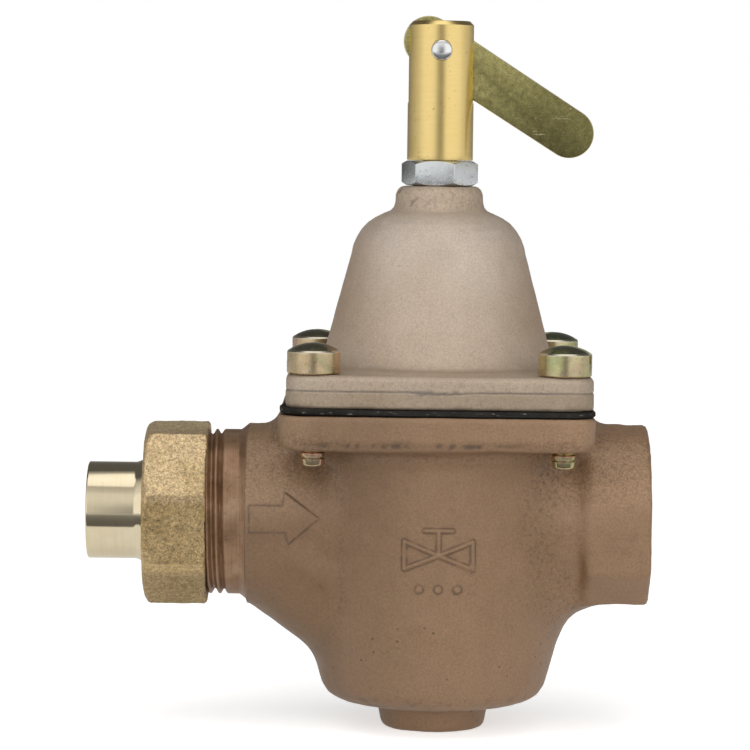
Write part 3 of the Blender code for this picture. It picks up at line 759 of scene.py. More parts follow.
def yellow_zinc():
    s = Shade("yellow_zinc", metal=1.0)
    tint = s.noise(5.0, 2, 0.45, distortion=0.3)
    base = s.ramp(tint, (0.3, (0.46, 0.5, 0.27)), (0.42, (0.68, 0.62, 0.33)), (0.52, (0.74, 0.66, 0.42)), (0.6, (0.72, 0.5, 0.38)), (0.7, (0.6, 0.6, 0.4)))
    side = s.ramp(s.math("MULTIPLY_ADD", s.axis(0), 20.0, 0.5, True), (0.3, (0.82, 0.55, 0.42)), (0.7, (0.66, 0.7, 0.36)))
    base = s.mix(0.34, base, side)
    base = s.mix(s.ramp(s.noise(0.8, 4, 0.7), (0.56, 0.0), (0.7, 0.55)), base, (0.28, 0.25, 0.14))
    # painted highlight: a bright ring on the chamfer at the head's top edge
    high = s.math("MULTIPLY", s.axis(2), 10.0)
    base = s.mix(s.ramp(high, (0.7392, 0.0), (0.74, 0.8), (0.744, 0.8), (0.7446, 0.0)), base, (0.92, 0.9, 0.78))
    base = s.mix(s.ramp(high, (0.5485, 0.0), (0.55, 0.6), (0.553, 0.6), (0.5545, 0.0)), base, (0.75, 0.25, 0.16))
    # painted shade: the domed top of the head darker and bluer
    base = s.mix(s.ramp(s.math("MULTIPLY", s.axis(2), 10.0), (0.7446, 0.0), (0.7456, 0.9)), base, s.mix(1.0, base, (0.5, 0.6, 0.66), "MULTIPLY"))
    base = s.mix(1.0, base, (0.82, 0.78, 0.76), "MULTIPLY")
    s.bump(s.noise(0.45, 3, 0.6), 0.008, 0.7)
    s.bump(s.noise(2.5, 2, 0.5), 0.03, 0.4)
    return s.done(base, s.ramp(s.noise(1.2, 3), (0.3, 0.17), (0.7, 0.3)))


def steel(name="steel", tone=0.66, rough=0.25, lines="Z"):
    s = Shade(name, metal=1.0)
    stretch = {"Z": (0.05, 0.05, 1.0), "X": (1.0, 0.05, 0.05)}[lines]
    marks = s.noise(0.4, 3, 0.6, vector=s.scaled(*stretch))
    cloud = s.noise(4, 3, 0.6)
    base = s.ramp(cloud, (0.3, (tone * 0.92, tone * 0.92, tone * 0.93)), (0.7, (tone * 1.06, tone * 1.06, tone * 1.06)))
    base = s.mix(1.0, base, s.ramp(marks, (0.3, 0.92), (0.7, 1.06)), "MULTIPLY")
    s.bump(marks, 0.006, 0.6)
    return s.done(base, s.ramp(marks, (0.3, rough * 0.8), (0.7, rough * 1.25)))


def rivet_steel():
    s = Shade("rivet_steel", metal=1.0)
    base = s.ramp(s.noise(1.6, 4, 0.6), (0.3, (0.78, 0.79, 0.8)), (0.7, (0.9, 0.91, 0.92)))
    s.bump(s.noise(0.9, 3, 0.6), 0.012, 0.5)
    return s.done(base, s.ramp(s.noise(0.8, 3), (0.3, 0.07), (0.7, 0.16)))


def rubber(name="rubber", fabric=True):
    s = Shade(name, rough=0.6)
    base = s.ramp(s.noise(3, 4, 0.6), (0.3, (0.009, 0.008, 0.007)), (0.7, (0.02, 0.018, 0.015)))
    s.b.inputs["Specular IOR Level"].default_value = 0.25
    if fabric:
        threads = s.ramp(s.noise(0.55, 3, 0.7, vector=s.scaled(0.35, 0.35, 1.6)), (0.6, 0.0), (0.66, 1.0))
        band = s.value("ply")
        base = s.mix(s.math("MULTIPLY", threads, band), base, (0.2, 0.18, 0.15))
        s.bump(threads, 0.04, 0.6)
    s.bump(s.noise(0.6, 4, 0.6), 0.03, 0.6)
    return s.done(base, s.ramp(s.noise(1.2, 3), (0.3, 0.7), (0.7, 0.9)))


def plain(name, low, high, rough, metal=0.0, grain=0.5, depth=0.02):
    s = Shade(name, metal=metal)
    base = s.ramp(s.noise(3.0, 5, 0.65), (0.3, low), (0.7, high))
    s.bump(s.noise(grain, 3, 0.6), depth, 0.6)
    return s.done(base, s.ramp(s.noise(1.0, 3), (0.3, rough * 0.85), (0.7, min(1.0, rough * 1.15))))


M = {
    "cast": cast_bronze(),
    "bell": bell_bronze(),
    "machined": machined_bronze(),
    "union": rough_brass(),
    "tail": brass("tail_brass", (0.8, 0.68, 0.46), (0.86, 0.75, 0.54), 0.1, 0.5, 0.002, axis="X"),
    "post": brass("turned_brass", (0.86, 0.645, 0.25), (0.92, 0.7, 0.3), 0.23, 0.3, 0.003, 0.7),
    "lever": lever_brass(),
    "zinc": zinc(),
    "yellow": yellow_zinc(),
    "steel": steel(),
    "steel_x": steel("steel_x", 0.62, 0.3, "X"),
    "rivet": rivet_steel(),
    "rubber": rubber(),
    "rubber_plain": rubber("rubber_plain", False),
    "fibre": plain("fibre_gasket", (0.17, 0.07, 0.04), (0.27, 0.12, 0.07), 0.8),
    "acetal": plain("acetal", (0.68, 0.67, 0.62), (0.78, 0.77, 0.72), 0.4, 0, 0.8, 0.008),
    "inner_brass": brass("inner_brass", (0.5, 0.37, 0.17), (0.6, 0.46, 0.24), 0.36, 0.4, 0.01, 0.4),
}


def dress(obj, key):
    obj.data.materials.clear()
    obj.data.materials.append(M[key])
    return obj


def piece(obj, body, key, slot, *nodes):
    dress(obj, key)
    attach(obj, body)
    if nodes:
        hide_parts(*nodes)
    return obj


# ------------------------------------------------------------------ the cast body
BOWL = [ (0, 0), (8.6, 0), (9.4, 0.15), (9.9, 0.6), (10.15, 1.3), (10.35, 2.4), (10.55, 3.4), (10.9, 4.25), (11.7, 4.7), (14.3, 5.0), (16.9, 5.3), (19.0, 5.9), (20.6, 6.9), (21.6, 8.4), (22.2, 10.4), (22.8, 12.6), (23.5, 15.2), (24.05, 18.2), (24.4, 22.5), (24.4, 57.0), (0, 57.0), ]
HUB = arc(0, 0, 16.75, 17, 163, 18) + [(-16.55, 3.9), (-16.55, -9.3), (-9.8, -15.1), (9.8, -15.1), (16.55, -9.3), (16.55, 3.9)]
CHAMBERS = [
    (0, 2.8), (3.3, 2.8), (3.3, 8.0), (16.4, 8.2), (18.5, 10.5), (19.8, 15.0), (19.8, 30.0), (17.5, 33.0), (8.0, 33.0), (8.0, 40.0), (12.1, 40.0),
    (12.1, 57.2), (21.0, 57.2), (21.0, 63.0), (0, 63.0),
]
OUTLET = [(0, 10.9), (5.6, 10.9), (5.6, 20.6), (8.0, 22.6), (8.0, 27.0), (10.45, 27.0), (10.45, 39.9), (11.3, 41.4), (0, 41.4)]


def body_parts(P):
    x, y, z = P[:, 0], P[:, 1], P[:, 2]
    r, u = np.hypot(x, y), np.hypot(y, z - PORT)
    bowl = poly_sd(r, z, BOWL)
    neck = rint(u - NECK_R, np.maximum(-36.35 - x, x + 5), 0.5)
    t = np.clip((x + 35.9) / 25.9, 0, 1.1)
    slope = (np.hypot(y, z - (PORT - 0.6 - 18.9 * t)) - (17.05 - 0.55 * t)) * 0.81
    slope = np.maximum(slope, np.maximum(-36.2 - x, x + 8))
    inlet = smin(neck, slope, 1.2)
    pipe = np.maximum(u - 16.1, np.maximum(4 - x, x - 34))
    hub = rint(poly_sd(y, z - PORT, HUB) - 0.95, x - 40.9, 1.0)
    hub = rint(hub, 28.2 - x, 1.6)
    outlet = smin(pipe, hub, 3.0)
    low = 55.5 + 0.35 * np.clip((x + 10) / 20, -1, 1) ** 2 * (y < 0)
    flange = rint(square_sd(x + 0.33, y, FLANGE_W / 2 + 0.45, 5.9), low - z, 2.1)
    flange = np.maximum(flange, z - 62.25)
    return bowl, inlet, outlet, flange


def body_outside(P):
    bowl, inlet, outlet, flange = body_parts(P)
    d = smin(bowl, inlet, 2.4)
    k = 6.5 + 4.5 * step(36, 24, P[:, 2])
    d = smin(d, outlet, k)
    d = smin(d, flange, 4.4)
    return np.maximum(d, P[:, 2] - 62.25)


def body_field(P):
    x, y, z = P[:, 0], P[:, 1], P[:, 2]
    r, u = np.hypot(x, y), np.hypot(y, z - PORT)
    d = body_outside(P)
    hollow = poly_sd(r, z, CHAMBERS)
    hollow = np.minimum(hollow, np.maximum(u - 11.2, np.maximum(x + 27.0, -50 - x)))
    t = np.clip((x + 37) / 32, 0, 1)
    hollow = np.minimum(hollow, np.maximum((np.hypot(y, z - (PORT - 20.5 * t)) - 9.5) * 0.84, np.maximum(x + 5, -37 - x)))
    hollow = np.minimum(hollow, poly_sd(u, x, OUTLET))
    holes = np.hypot(np.abs(x) - SCREW_AT, np.abs(y) - SCREW_AT) - 2.6
    hollow = np.minimum(hollow, holes)
    return np.maximum(d, -hollow)


ARROW = [(-35.6, 44.3), (-29.3, 44.3), (-28.9, 46.8), (-22.3, 42.0), (-28.1, 37.0), (-28.8, 39.2), (-35.6, 39.2)]


def strokes(u, v, lines, half):
    d = np.full(u.shape, 1e9)
    for (au, av), (bu, bv) in lines:
        eu, ev = bu - au, bv - av
        t = np.clip(((u - au) * eu + (v - av) * ev) / (eu * eu + ev * ev + 1e-9), 0, 1)
        d = np.minimum(d, np.hypot(u - au - t * eu, v - av - t * ev))
    return d - half


# a drawing-office valve symbol: two triangles point to point, with a stem and a cross bar, over a row of three dots
MARK_X, MARK_Z = 0.3, 36.0
MARK = [((-6.4, 2.6), (-6.4, -2.6)), ((-6.4, 2.6), (6.4, -2.6)), ((-6.4, -2.6), (6.4, 2.6)), ((6.4, 2.6), (6.4, -2.6)), ((0, 0), (0, 4.6)), ((-2.6, 4.7), (2.6, 4.7))]
DOTS = [((q, -6.4), (q, -6.4)) for q in (-3.6, 0, 3.6)]


def raised(P):
    """How far the cast marks stand out of the front of the body, in millimetres."""
    x, y, z = P[:, 0], P[:, 1], P[:, 2]
    front = y < -5
    arrow = poly_sd(x, z, ARROW)
    h = 0.4 * step(0.28, -0.28, arrow)
    mark = strokes(x - MARK_X, z - MARK_Z, MARK, 0.42)
    dots = strokes(x - MARK_X, z - MARK_Z, DOTS, 0.75)
    h = np.maximum(h, 0.5 * step(0.26, -0.26, np.minimum(mark, dots)))
    return np.where(front, h, 0.0)


def make_body():
    h = 0.6
    xs, ys, zs = np.arange(-38.3, 43.0, h), np.arange(-31.2, 31.3, h), np.arange(-1.5, 64.0, h)
    V = sampled(body_field, xs, ys, zs)
    P, F = surface_nets(V, xs, ys, zs)
    P, _ = settle(P, body_field, 3)
    obj = mesh_object("cast_body", P, F)
    # finer mesh where the cast marks stand
    bm = bmesh.new()
    bm.from_mesh(obj.data)
    chosen = set()
    for f in bm.faces:
        c = f.calc_center_median() / MM
        if c.y > -8 or f.normal.y > -0.25:
            continue
        if (-37.0 < c.x < -21.0 and 35.8 < c.z < 48.0) or (abs(c.x - MARK_X) < 7.6 and MARK_Z - 7.8 < c.z < MARK_Z + 5.9):
            chosen.update(f.edges)
    bmesh.ops.subdivide_edges(bm, edges=list(chosen), cuts=3, use_grid_fill=True)
    bm.to_mesh(obj.data)
    bm.free()
    P = points_of(obj)
    P, N = settle(P, body_field, 2)
    bowl, inlet, outlet, flange = body_parts(P)
    sharp = np.minimum(np.minimum(bowl, inlet), np.minimum(outlet, flange))
    blend = np.clip((sharp - body_outside(P)) / 0.7, 0, 1)
    outside = step(0.6, 0.15, np.abs(body_outside(P)))
    x, y, z = P[:, 0], P[:, 1], P[:, 2]
    rough = step(42, 51, z + 1.5 * noise3(P, 5, 6)) * step(15, 22, np.abs(x) + 1.5 * noise3(P, 4, 7)) * step(61.0, 57.0, z)
    rough = np.maximum(rough, step(-24, -31, x) * 0.45 * step(30, 46, z))
    spots = noise3(P, 0.85, 5) * 0.75 + noise3(P, 1.9, 8) * 0.45
    under = step(0.9, 0.2, np.abs(z - 56.9)) * step(0.16, 0.42, spots) * step(24, 14, np.abs(x + 5)) * (y < 0)
    low_pits = step(0.34, 0.52, spots) * step(2.4, 0.6, np.abs(z - 6.6)) * step(19, 14, np.abs(x - 1)) * (y < 0)
    # painted shade along the outlines of the raised cast marks
    outline = np.minimum(np.abs(poly_sd(x, z, ARROW)), np.abs(np.minimum(strokes(x - MARK_X, z - MARK_Z, MARK, 0.5), strokes(x - MARK_X, z - MARK_Z, DOTS, 0.85))))
    marks = np.exp(-((outline / 0.22) ** 2)) * (y < -8) * (np.abs(x + 14) < 24) * step(-0.75, 0.1, noise3(P, 1.4, 17))
    P = P + N * (outside * (0.055 * fbm(P, 3.2, 3, 1) + (0.02 + 0.05 * rough) * fbm(P, 1.1, 2, 4)))[:, None]
    P = P + N * (raised(P) * outside)[:, None] - N * ((0.22 * under + 0.07 * low_pits) * outside)[:, None]
    P[:, 2] = np.minimum(P[:, 2], 62.27)
    P[:, 2] = np.maximum(P[:, 2], 0.0)
    set_points(obj, P)
    add_values(obj, "rough_zone", rough * outside)
    add_values(obj, "crease_shade", blend * outside)
    add_values(obj, "dirt_and_shade", outside * np.clip(0.7 * under + 0.3 * low_pits + 0.5 * marks, 0, 1))
    return obj


# ------------------------------------------------------------------ the bell-shaped spring housing
BELL = [
    (0, 64.2), (24.2, 64.2), (24.2, 69.95), (23.0, 70.25), (22.35, 71.2), (21.98, 72.6), (16.87, 91.7), (16.55, 93.4), (15.9, 95.0), (14.9, 96.6), (13.7, 97.9),
    (12.2, 98.9), (10.6, 99.7), (9.4, 100.2), (8.75, 100.9), (8.5, 102.0), (8.42, 103.3), (8.1, 104.2), (7.5, 104.8), (6.9, 104.98), (0, 104.98),
]
BELL_INSIDE = [
    (0, 63.0), (20.5, 63.0), (20.5, 66.0), (19.2, 70.5), (13.6, 92.0), (12.6, 94.3), (10.4, 96.2), (4.2, 97.0), (4.2, 106.0), (0, 106.0),
]


def bell_parts(P):
    x, y, z = P[:, 0], P[:, 1], P[:, 2]
    bell = poly_sd(np.hypot(x, y), z, BELL)
    plate = rint(square_sd(x - BELL_SHIFT, y, BELL_W / 2, 5.4), z - BELL_Z1, 1.1)
    plate = rint(plate, BELL_Z0 - z, 0.35)
    return bell, plate


def bell_field(P):
    x, y, z = P[:, 0], P[:, 1], P[:, 2]
    bell, plate = bell_parts(P)
    d = smin(bell, plate, 2.2)
    hollow = poly_sd(np.hypot(x, y), z, BELL_INSIDE)
    hollow = np.minimum(hollow, np.hypot(np.abs(x) - SCREW_AT, np.abs(y) - SCREW_AT) - 2.7)
    return np.maximum(d, -hollow)


def make_bell():
    h = 0.6
    xs = ys = np.arange(-30.6, 30.8, h)
    zs = np.concatenate([np.arange(62.6, 65.7, 0.5), np.arange(65.7, 68.1, 0.15), np.arange(68.1, 106.5, h)])
    V = sampled(bell_field, xs, ys, zs)
    P, F = surface_nets(V, xs, ys, zs)
    P, N = settle(P, bell_field, 3)
    bell, plate = bell_parts(P)
    blend = np.clip((np.minimum(bell, plate) - smin(bell, plate, 2.2)) / 0.5, 0, 1)
    x, y, z = P[:, 0], P[:, 1], P[:, 2]
    side = step(1.0, 0.2, np.abs(square_sd(x - BELL_SHIFT, y, BELL_W / 2, 5.4))) * (z < 69)
    outside = np.where(np.minimum(bell, plate) > -0.3, 1.0, 0.0)
    along = np.where(np.abs(y) > np.abs(x), x, y)
    middle = step(6.6, 4.6, np.abs(along - 1.0)) * (np.abs(y) > np.abs(x))
    line = 66.95 + 0.05 * noise3(P, 5, 21) - middle * (0.28 + 0.3 * noise3(P, 1.1, 22) + 0.2 * noise3(P, 0.6, 23))
    groove = step(0.3, 0.03, np.abs(z - line)) * side
    lower = step(0.1, -0.1, z - line) * side
    pits = step(0.55, 0.85, noise3(P, 0.9, 31) * 0.7 + noise3(P, 2.6, 32) * 0.7) * step(99.5, 101.5, z) * step(105.2, 104.0, z)
    pits = pits * (x < 2)
    move = 0.035 * fbm(P, 3.0, 3, 11) + 0.02 * fbm(P, 1.0, 2, 14) - 0.2 * groove + 0.05 * lower - 0.25 * pits
    P = P + N * (move * outside)[:, None]
    P[:, 2] = np.clip(P[:, 2], BELL_Z0, 105.03)
    obj = mesh_object("bell_housing", P, F)
    add_values(obj, "rough_zone", outside * np.maximum(0.35 * side, 0.5 * step(99, 101, z)))
    add_values(obj, "crease_shade", blend * outside)
    chips = middle * step(0.9, 0.3, np.abs(z - 66.75)) * step(0.1, 0.4, noise3(P, 0.75, 24) + 0.5 * noise3(P, 1.6, 25))
    add_values(obj, "seam", np.maximum(step(0.2, 0.04, np.abs(z - line)) * np.clip(0.8 + 0.4 * noise3(P, 2.5, 44), 0, 1), 0.5 * chips) * side * outside)
    # darker in patches along the plate's lower edge
    low = step(64.9, 63.9, z) * side * step(-0.1, 0.5, noise3(P, 2.2, 41))
    add_values(obj, "dirt_and_shade", np.maximum(0.7 * pits, 0.4 * low))
    return obj


# ------------------------------------------------------------------ the union nut
OCTAGON = polygon(8, 33.35 - 0.5, 28.6)
CORNER = 33.35 / 2 / math.cos(math.pi / 8)
NUT_SHAPE = [(0, NUT_X0), (CORNER - 2.5, NUT_X0), (CORNER - 1.3, NUT_X0 + 0.3), (CORNER - 0.1, NUT_X0 + 1.15), (CORNER + 0.3, NUT_X0 + 2.6), (CORNER + 0.3, NUT_X1 - 0.5), (CORNER - 0.75, NUT_X1), (0, NUT_X1)]


def nut_outside(P):
    x, y, z = P[:, 0], P[:, 1], P[:, 2] - PORT + 0.2
    u = np.hypot(y, z)
    d = rint(poly_sd(y, z, OCTAGON) - 0.25, poly_sd(u, x, NUT_SHAPE), 0.3)
    return d


def nut_field(P):
    x, y, z = P[:, 0], P[:, 1], P[:, 2] - PORT + 0.1
    u = np.hypot(y, z)
    d = nut_outside(P)
    turn = np.arctan2(z, y) / (2 * math.pi)
    tri = 1 - np.abs(((x / UNION_PITCH - turn + 0.135) % 1.0) * 2 - 1)
    thread = 15.2 + 0.86 * np.clip((tri - 0.05) / 0.8, 0, 1)
    hollow = np.maximum((u - thread) * 0.75, -53.3 - x)
    mouth = u - 15.6 - np.maximum(x + 44.8, 0)
    hollow = np.minimum(hollow, np.maximum(mouth, -45.0 - x))
    hollow = np.minimum(hollow, np.minimum(u - 10.4, 20))
    lip = np.maximum(u - 10.4 - np.maximum(-55.6 - x, 0), x + 55.0)
    hollow = np.minimum(hollow, lip)
    return np.maximum(d, -hollow)


def make_union_nut():
    h = 0.36
    xs = np.arange(-57.2, -42.9, h)
    ys, zs = np.arange(-19.6, 19.7, h), np.arange(PORT - 19.6, PORT + 19.7, h)
    V = sampled(nut_field, xs, ys, zs)
    P, F = surface_nets(V, xs, ys, zs)
    P, N = settle(P, nut_field, 3, 0.25)
    outside = step(0.5, 0.1, np.abs(nut_outside(P)))
    face = step(NUT_X0 + 0.5, NUT_X0 + 1.2, P[:, 0])
    move = 0.05 * fbm(P, 2.4, 2, 51) + 0.045 * fbm(P, 0.9, 2, 54) * (0.4 + 0.6 * face)
    P = P + N * (move * outside)[:, None]
    P[:, 0] = np.clip(P[:, 0], NUT_X0 - 0.02, NUT_X1 + 0.02)
    return mesh_object("union_nut_skin", P, F)


# ------------------------------------------------------------------ turned and pressed pieces
def make_union_thread():
    """The machined spigot: end face, helical thread, plain band and the cone up to the casting."""
    seg, n = 144, []
    th = np.linspace(0, 2 * math.pi, seg, endpoint=False)
    hs = np.concatenate([np.arange(-48.6, -39.5, 0.13), np.array([-39.4, -38.8, -38.2, -37.85, -37.7, -37.2, -36.5, -36.25, -35.4])])
    rows = []
    for x in hs:
        tri = 1 - np.abs(((x / UNION_PITCH - th / (2 * math.pi) + 0.135) % 1.0) * 2 - 1)
        form = np.clip((tri - 0.14) / 0.7, 0, 1)
        form = form * form * (3 - 2 * form) * 0.4 + form * 0.6
        body = 15.0 + 0.97 * form
        run = np.clip((x + 41.2 + 0.5 * np.sin(th)) / 0.9, 0, 1)
        body = body * (1 - run) + np.maximum(body, 15.98) * run
        start = np.clip((x + 48.6) / 1.2, 0, 1)
        body = np.minimum(body, 14.9 + 1.1 * start)
        if x >= -37.75:
            body = np.full(seg, float(np.interp(x, [-37.75, -37.6, -36.3, -36.2, -35.4], [16.0, 16.05, 17.15, 17.2, 17.1])))
        rows.append(np.stack([np.full(seg, x), body * np.cos(th), body * np.sin(th) + PORT], -1))
    inner_lo = np.stack([np.full(seg, -48.6), 11.3 * np.cos(th), 11.3 * np.sin(th) + PORT], -1)
    inner_hi = inner_lo.copy()
    inner_hi[:, 0] = -35.4
    G = np.stack([inner_lo] + rows + [inner_hi])
    m = len(G)
    idx = np.arange(m * seg).reshape(m, seg)
    nxt = np.roll(idx, -1, axis=1)
    quads = np.stack([idx[:-1], nxt[:-1], nxt[1:], idx[1:]], -1).reshape(-1, 4)
    quads = np.concatenate([quads, np.stack([idx[-1], nxt[-1], nxt[0], idx[0]], -1)])[:, ::-1]
    return smooth(mesh_object("union_thread", G.reshape(-1, 3), quads), 48)


def make_outlet_thread():
    """The taper pipe thread in the outlet, as the lining of its bore."""
    seg = 120
    th = np.linspace(0, 2 * math.pi, seg, endpoint=False)
    hs = np.arange(27.2, 40.86, 0.15)
    rows = []
    for x in hs:
        tri = 1 - np.abs(((x / 1.814 - th / (2 * math.pi)) % 1.0) * 2 - 1)
        form = np.clip((tri - 0.12) / 0.76, 0, 1)
        minor = 9.25 + (x - 27.2) / 32.0
        r = minor + 0.95 * form
        mouth = 9.6 + np.maximum(x - 39.6, 0) * 1.0
        r = np.maximum(r, mouth if x > 39.6 else 0)
        rows.append(np.stack([np.full(seg, x), np.minimum(r, 10.95) * np.cos(th), np.minimum(r, 10.95) * np.sin(th) + PORT], -1))
    outer_lo = np.stack([np.full(seg, 27.2), 11.6 * np.cos(th), 11.6 * np.sin(th) + PORT], -1)
    outer_hi = outer_lo.copy()
    outer_hi[:, 0] = 40.86
    G = np.stack([outer_lo] + rows + [outer_hi])
    m = len(G)
    idx = np.arange(m * seg).reshape(m, seg)
    nxt = np.roll(idx, -1, axis=1)
    quads = np.stack([idx[:-1], nxt[:-1], nxt[1:], idx[1:]], -1).reshape(-1, 4)
    quads = np.concatenate([quads, np.stack([idx[-1], nxt[-1], nxt[0], idx[0]], -1)])
    return smooth(mesh_object("outlet_thread", G.reshape(-1, 3), quads), 48)


def make_tailpiece():
    profile = rounded(
        [
            (6.9, -50.6), (6.9, -55.4), (8.0, -55.4), (8.0, -67.3), (9.38, -67.3), (9.38, -57.9), (9.75, -57.0), (10.15, -56.1), (10.15, -53.1), (14.7, -53.1),
            (14.7, -50.6), (6.9, -50.6),
        ],
        {2: 0.3, 3: 0.25, 4: 0.35, 5: 1.6, 6: 0.8, 8: 0.3, 9: 0.3, 10: 0.3},
    )[:-1]
    return smooth(turned("tailpiece_skin", profile, "X", 144, (0, 0, PORT), ring=True), 30)


def make_post():
    """The adjusting screw's slotted post, with the push rod's bore through it; its helical 5/16 in thread below is made
    by make_adjusting_thread.
    """
    profile = rounded(
        [(0, 109.6), (3.2, 109.6), (3.2, POST_Z0), (POST_R, POST_Z0), (POST_R, POST_Z1 - 0.8), (POST_R - 0.75, POST_Z1), (0, POST_Z1)],
        {3: 0.15, 4: 0.12, 5: 0.2},
    )
    # short rows up the wall keep its shading even round the cross hole
    low = [i for i, (r, z) in enumerate(profile) if abs(r - POST_R) < 1e-6 and z < POST_Z0 + 2][-1]
    profile[low + 1 : low + 1] = [(POST_R, float(z)) for z in np.arange(POST_Z0 + 1.0, POST_Z1 - 1.4, 0.45)]
    post = turned("post_skin", profile, segments=128)
    slot = prism("slot", [(-9, -1.3), (9, -1.3), (9, 1.3), (-9, 1.3)], 121.0, POST_Z1 + 2)
    bore = cylinder("bore", 1.78, 108, 127.2, segments=48)
    eye = cylinder("eye", 2.0, -8, 8, "Y", (0, 0, PIN_Z), 48)
    cut(post, bore, slot, eye)
    bevel(post, 0.11, 2, 40)
    return smooth(post, 32)


def make_adjusting_thread():
    obj = threaded("adjusting_thread", "Z", 88.25, 109.9, 3.3, 3.96, 1.411, segments=64, per_pitch=10, runout=1.2, other=1.78)
    return obj


def make_lever():
    outline = arc(29.38, -0.25, 4.7, -90, 90, 34) + arc(-3.0, 0.28, 4.86, 90, 270, 34)
    lever = prism("lever_skin", outline, -1.15, 1.15, "Y")
    cut(lever, cylinder("eye", 2.08, -3, 3, "Y", segments=48))
    bevel(lever, 0.24, 3, 50)
    lever.data.transform(Matrix.Rotation(math.radians(-LEVER_ANGLE), 4, "Y"))
    lever.data.transform(Matrix.Translation((0, 0, PIN_Z * MM)))
    return smooth(lever, 32)


def make_pin():
    head = [(1.98 * math.sin(math.radians(a)) , 6.28 + 0.72 * math.cos(math.radians(a))) for a in range(0, 91, 9)]
    profile = [(r, -h) for r, h in head] + [(1.98, -5.9), (1.9, -5.8), (1.9, 5.8), (1.98, 5.9)] + [(r, h) for r, h in reversed(head)]
    return smooth(turned("pin_skin", profile, "Y", 56, (0, 0, PIN_Z)), 40)


def make_rod():
    c = 124.6 - 1.55
    profile = [(0, 70.2), (1.4, 70.2), (1.55, 70.35), (1.55, c)] + [(1.55 * math.cos(math.radians(a)), c + 1.55 * math.sin(math.radians(a))) for a in (15, 30, 45, 60, 75)] + [(0, 124.6)]
    return smooth(turned("rod_skin", profile, "Z", 40), 35)


def make_lock_nut():
    nut = prism("lock_nut_skin", polygon(6, 12.95, -69.6), 105.1, 109.85)
    shape = turned("chamfer", [(0, 105.1), (6.35, 105.1), (7.52, 105.75), (7.52, 109.2), (6.35, 109.85), (0, 109.85)], segments=96)
    boolean(nut, shape, "INTERSECT")
    cut(nut, turned("bore", [(0, 104), (4.9, 104), (4.9, 105.0), (4.12, 105.8), (4.12, 109.15), (4.9, 109.95), (4.9, 111), (0, 111)], segments=64))
    bevel(nut, 0.09, 2, 25)
    return smooth(nut, 28)


def make_cover_screw(name, x, y, slot_angle):
    """A slotted fillister head on a rolled thread with a smooth dog point."""
    base = 70.0
    top = base + 4.6
    head = rounded(
        [(0, base), (4.85, base), (5.05, base + 0.25), (5.05, base + 4.1), (4.76, base + 4.43)] + [(4.56 * k, base + 4.5 + 1.31 * (1 - k * k) ** 0.9) for k in (1.0, 0.93, 0.85, 0.75, 0.62, 0.48, 0.32, 0.16)] + [(0, base + 5.81)],
        {3: 0.12, 4: 0.1},
    )
    screw = turned(name, head, segments=80)
    slot = prism("slot", [(-7, -0.62), (7, -0.62), (7, 0.62), (-7, 0.62)], top - 2.1, top + 3)
    slot.data.transform(Matrix.Rotation(math.radians(slot_angle), 4, "Z"))
    cut(screw, slot)
    bevel(screw, 0.09, 2, 40)
    smooth(screw, 32)
    shank = threaded(name + "_thread", "Z", 56.2, 70.02, 2.02, 2.42, 0.794, segments=40, per_pitch=8, runout=0.5)
    dog = turned(name + "_point", rounded([(0, 52.6), (2.08, 52.6), (2.2, 53.95), (1.98, 54.2), (2.24, 54.5), (2.26, 55.1), (2.0, 55.4), (2.3, 55.65), (2.3, 56.3), (0, 56.3)], {1: 0.45, 2: 0.1, 3: 0.1, 4: 0.1, 5: 0.1}), segments=48)
    smooth(dog, 32)
    with_all = [screw, shank, dog]
    for o in with_all:
        o.data.transform(Matrix.Translation((x * MM, y * MM, 0)))
    return joined(with_all)


def joined(objs):
    """One object of several meshes."""
    bm = bmesh.new()
    for o in objs:
        bm.from_mesh(o.data)
    mesh = bpy.data.meshes.new(objs[0].name)
    bm.to_mesh(mesh)
    bm.free()
    name = objs[0].name
    for o in objs:
        bpy.data.objects.remove(o, do_unlink=True)
    obj = link(name, mesh)
    return smooth(obj, 35)


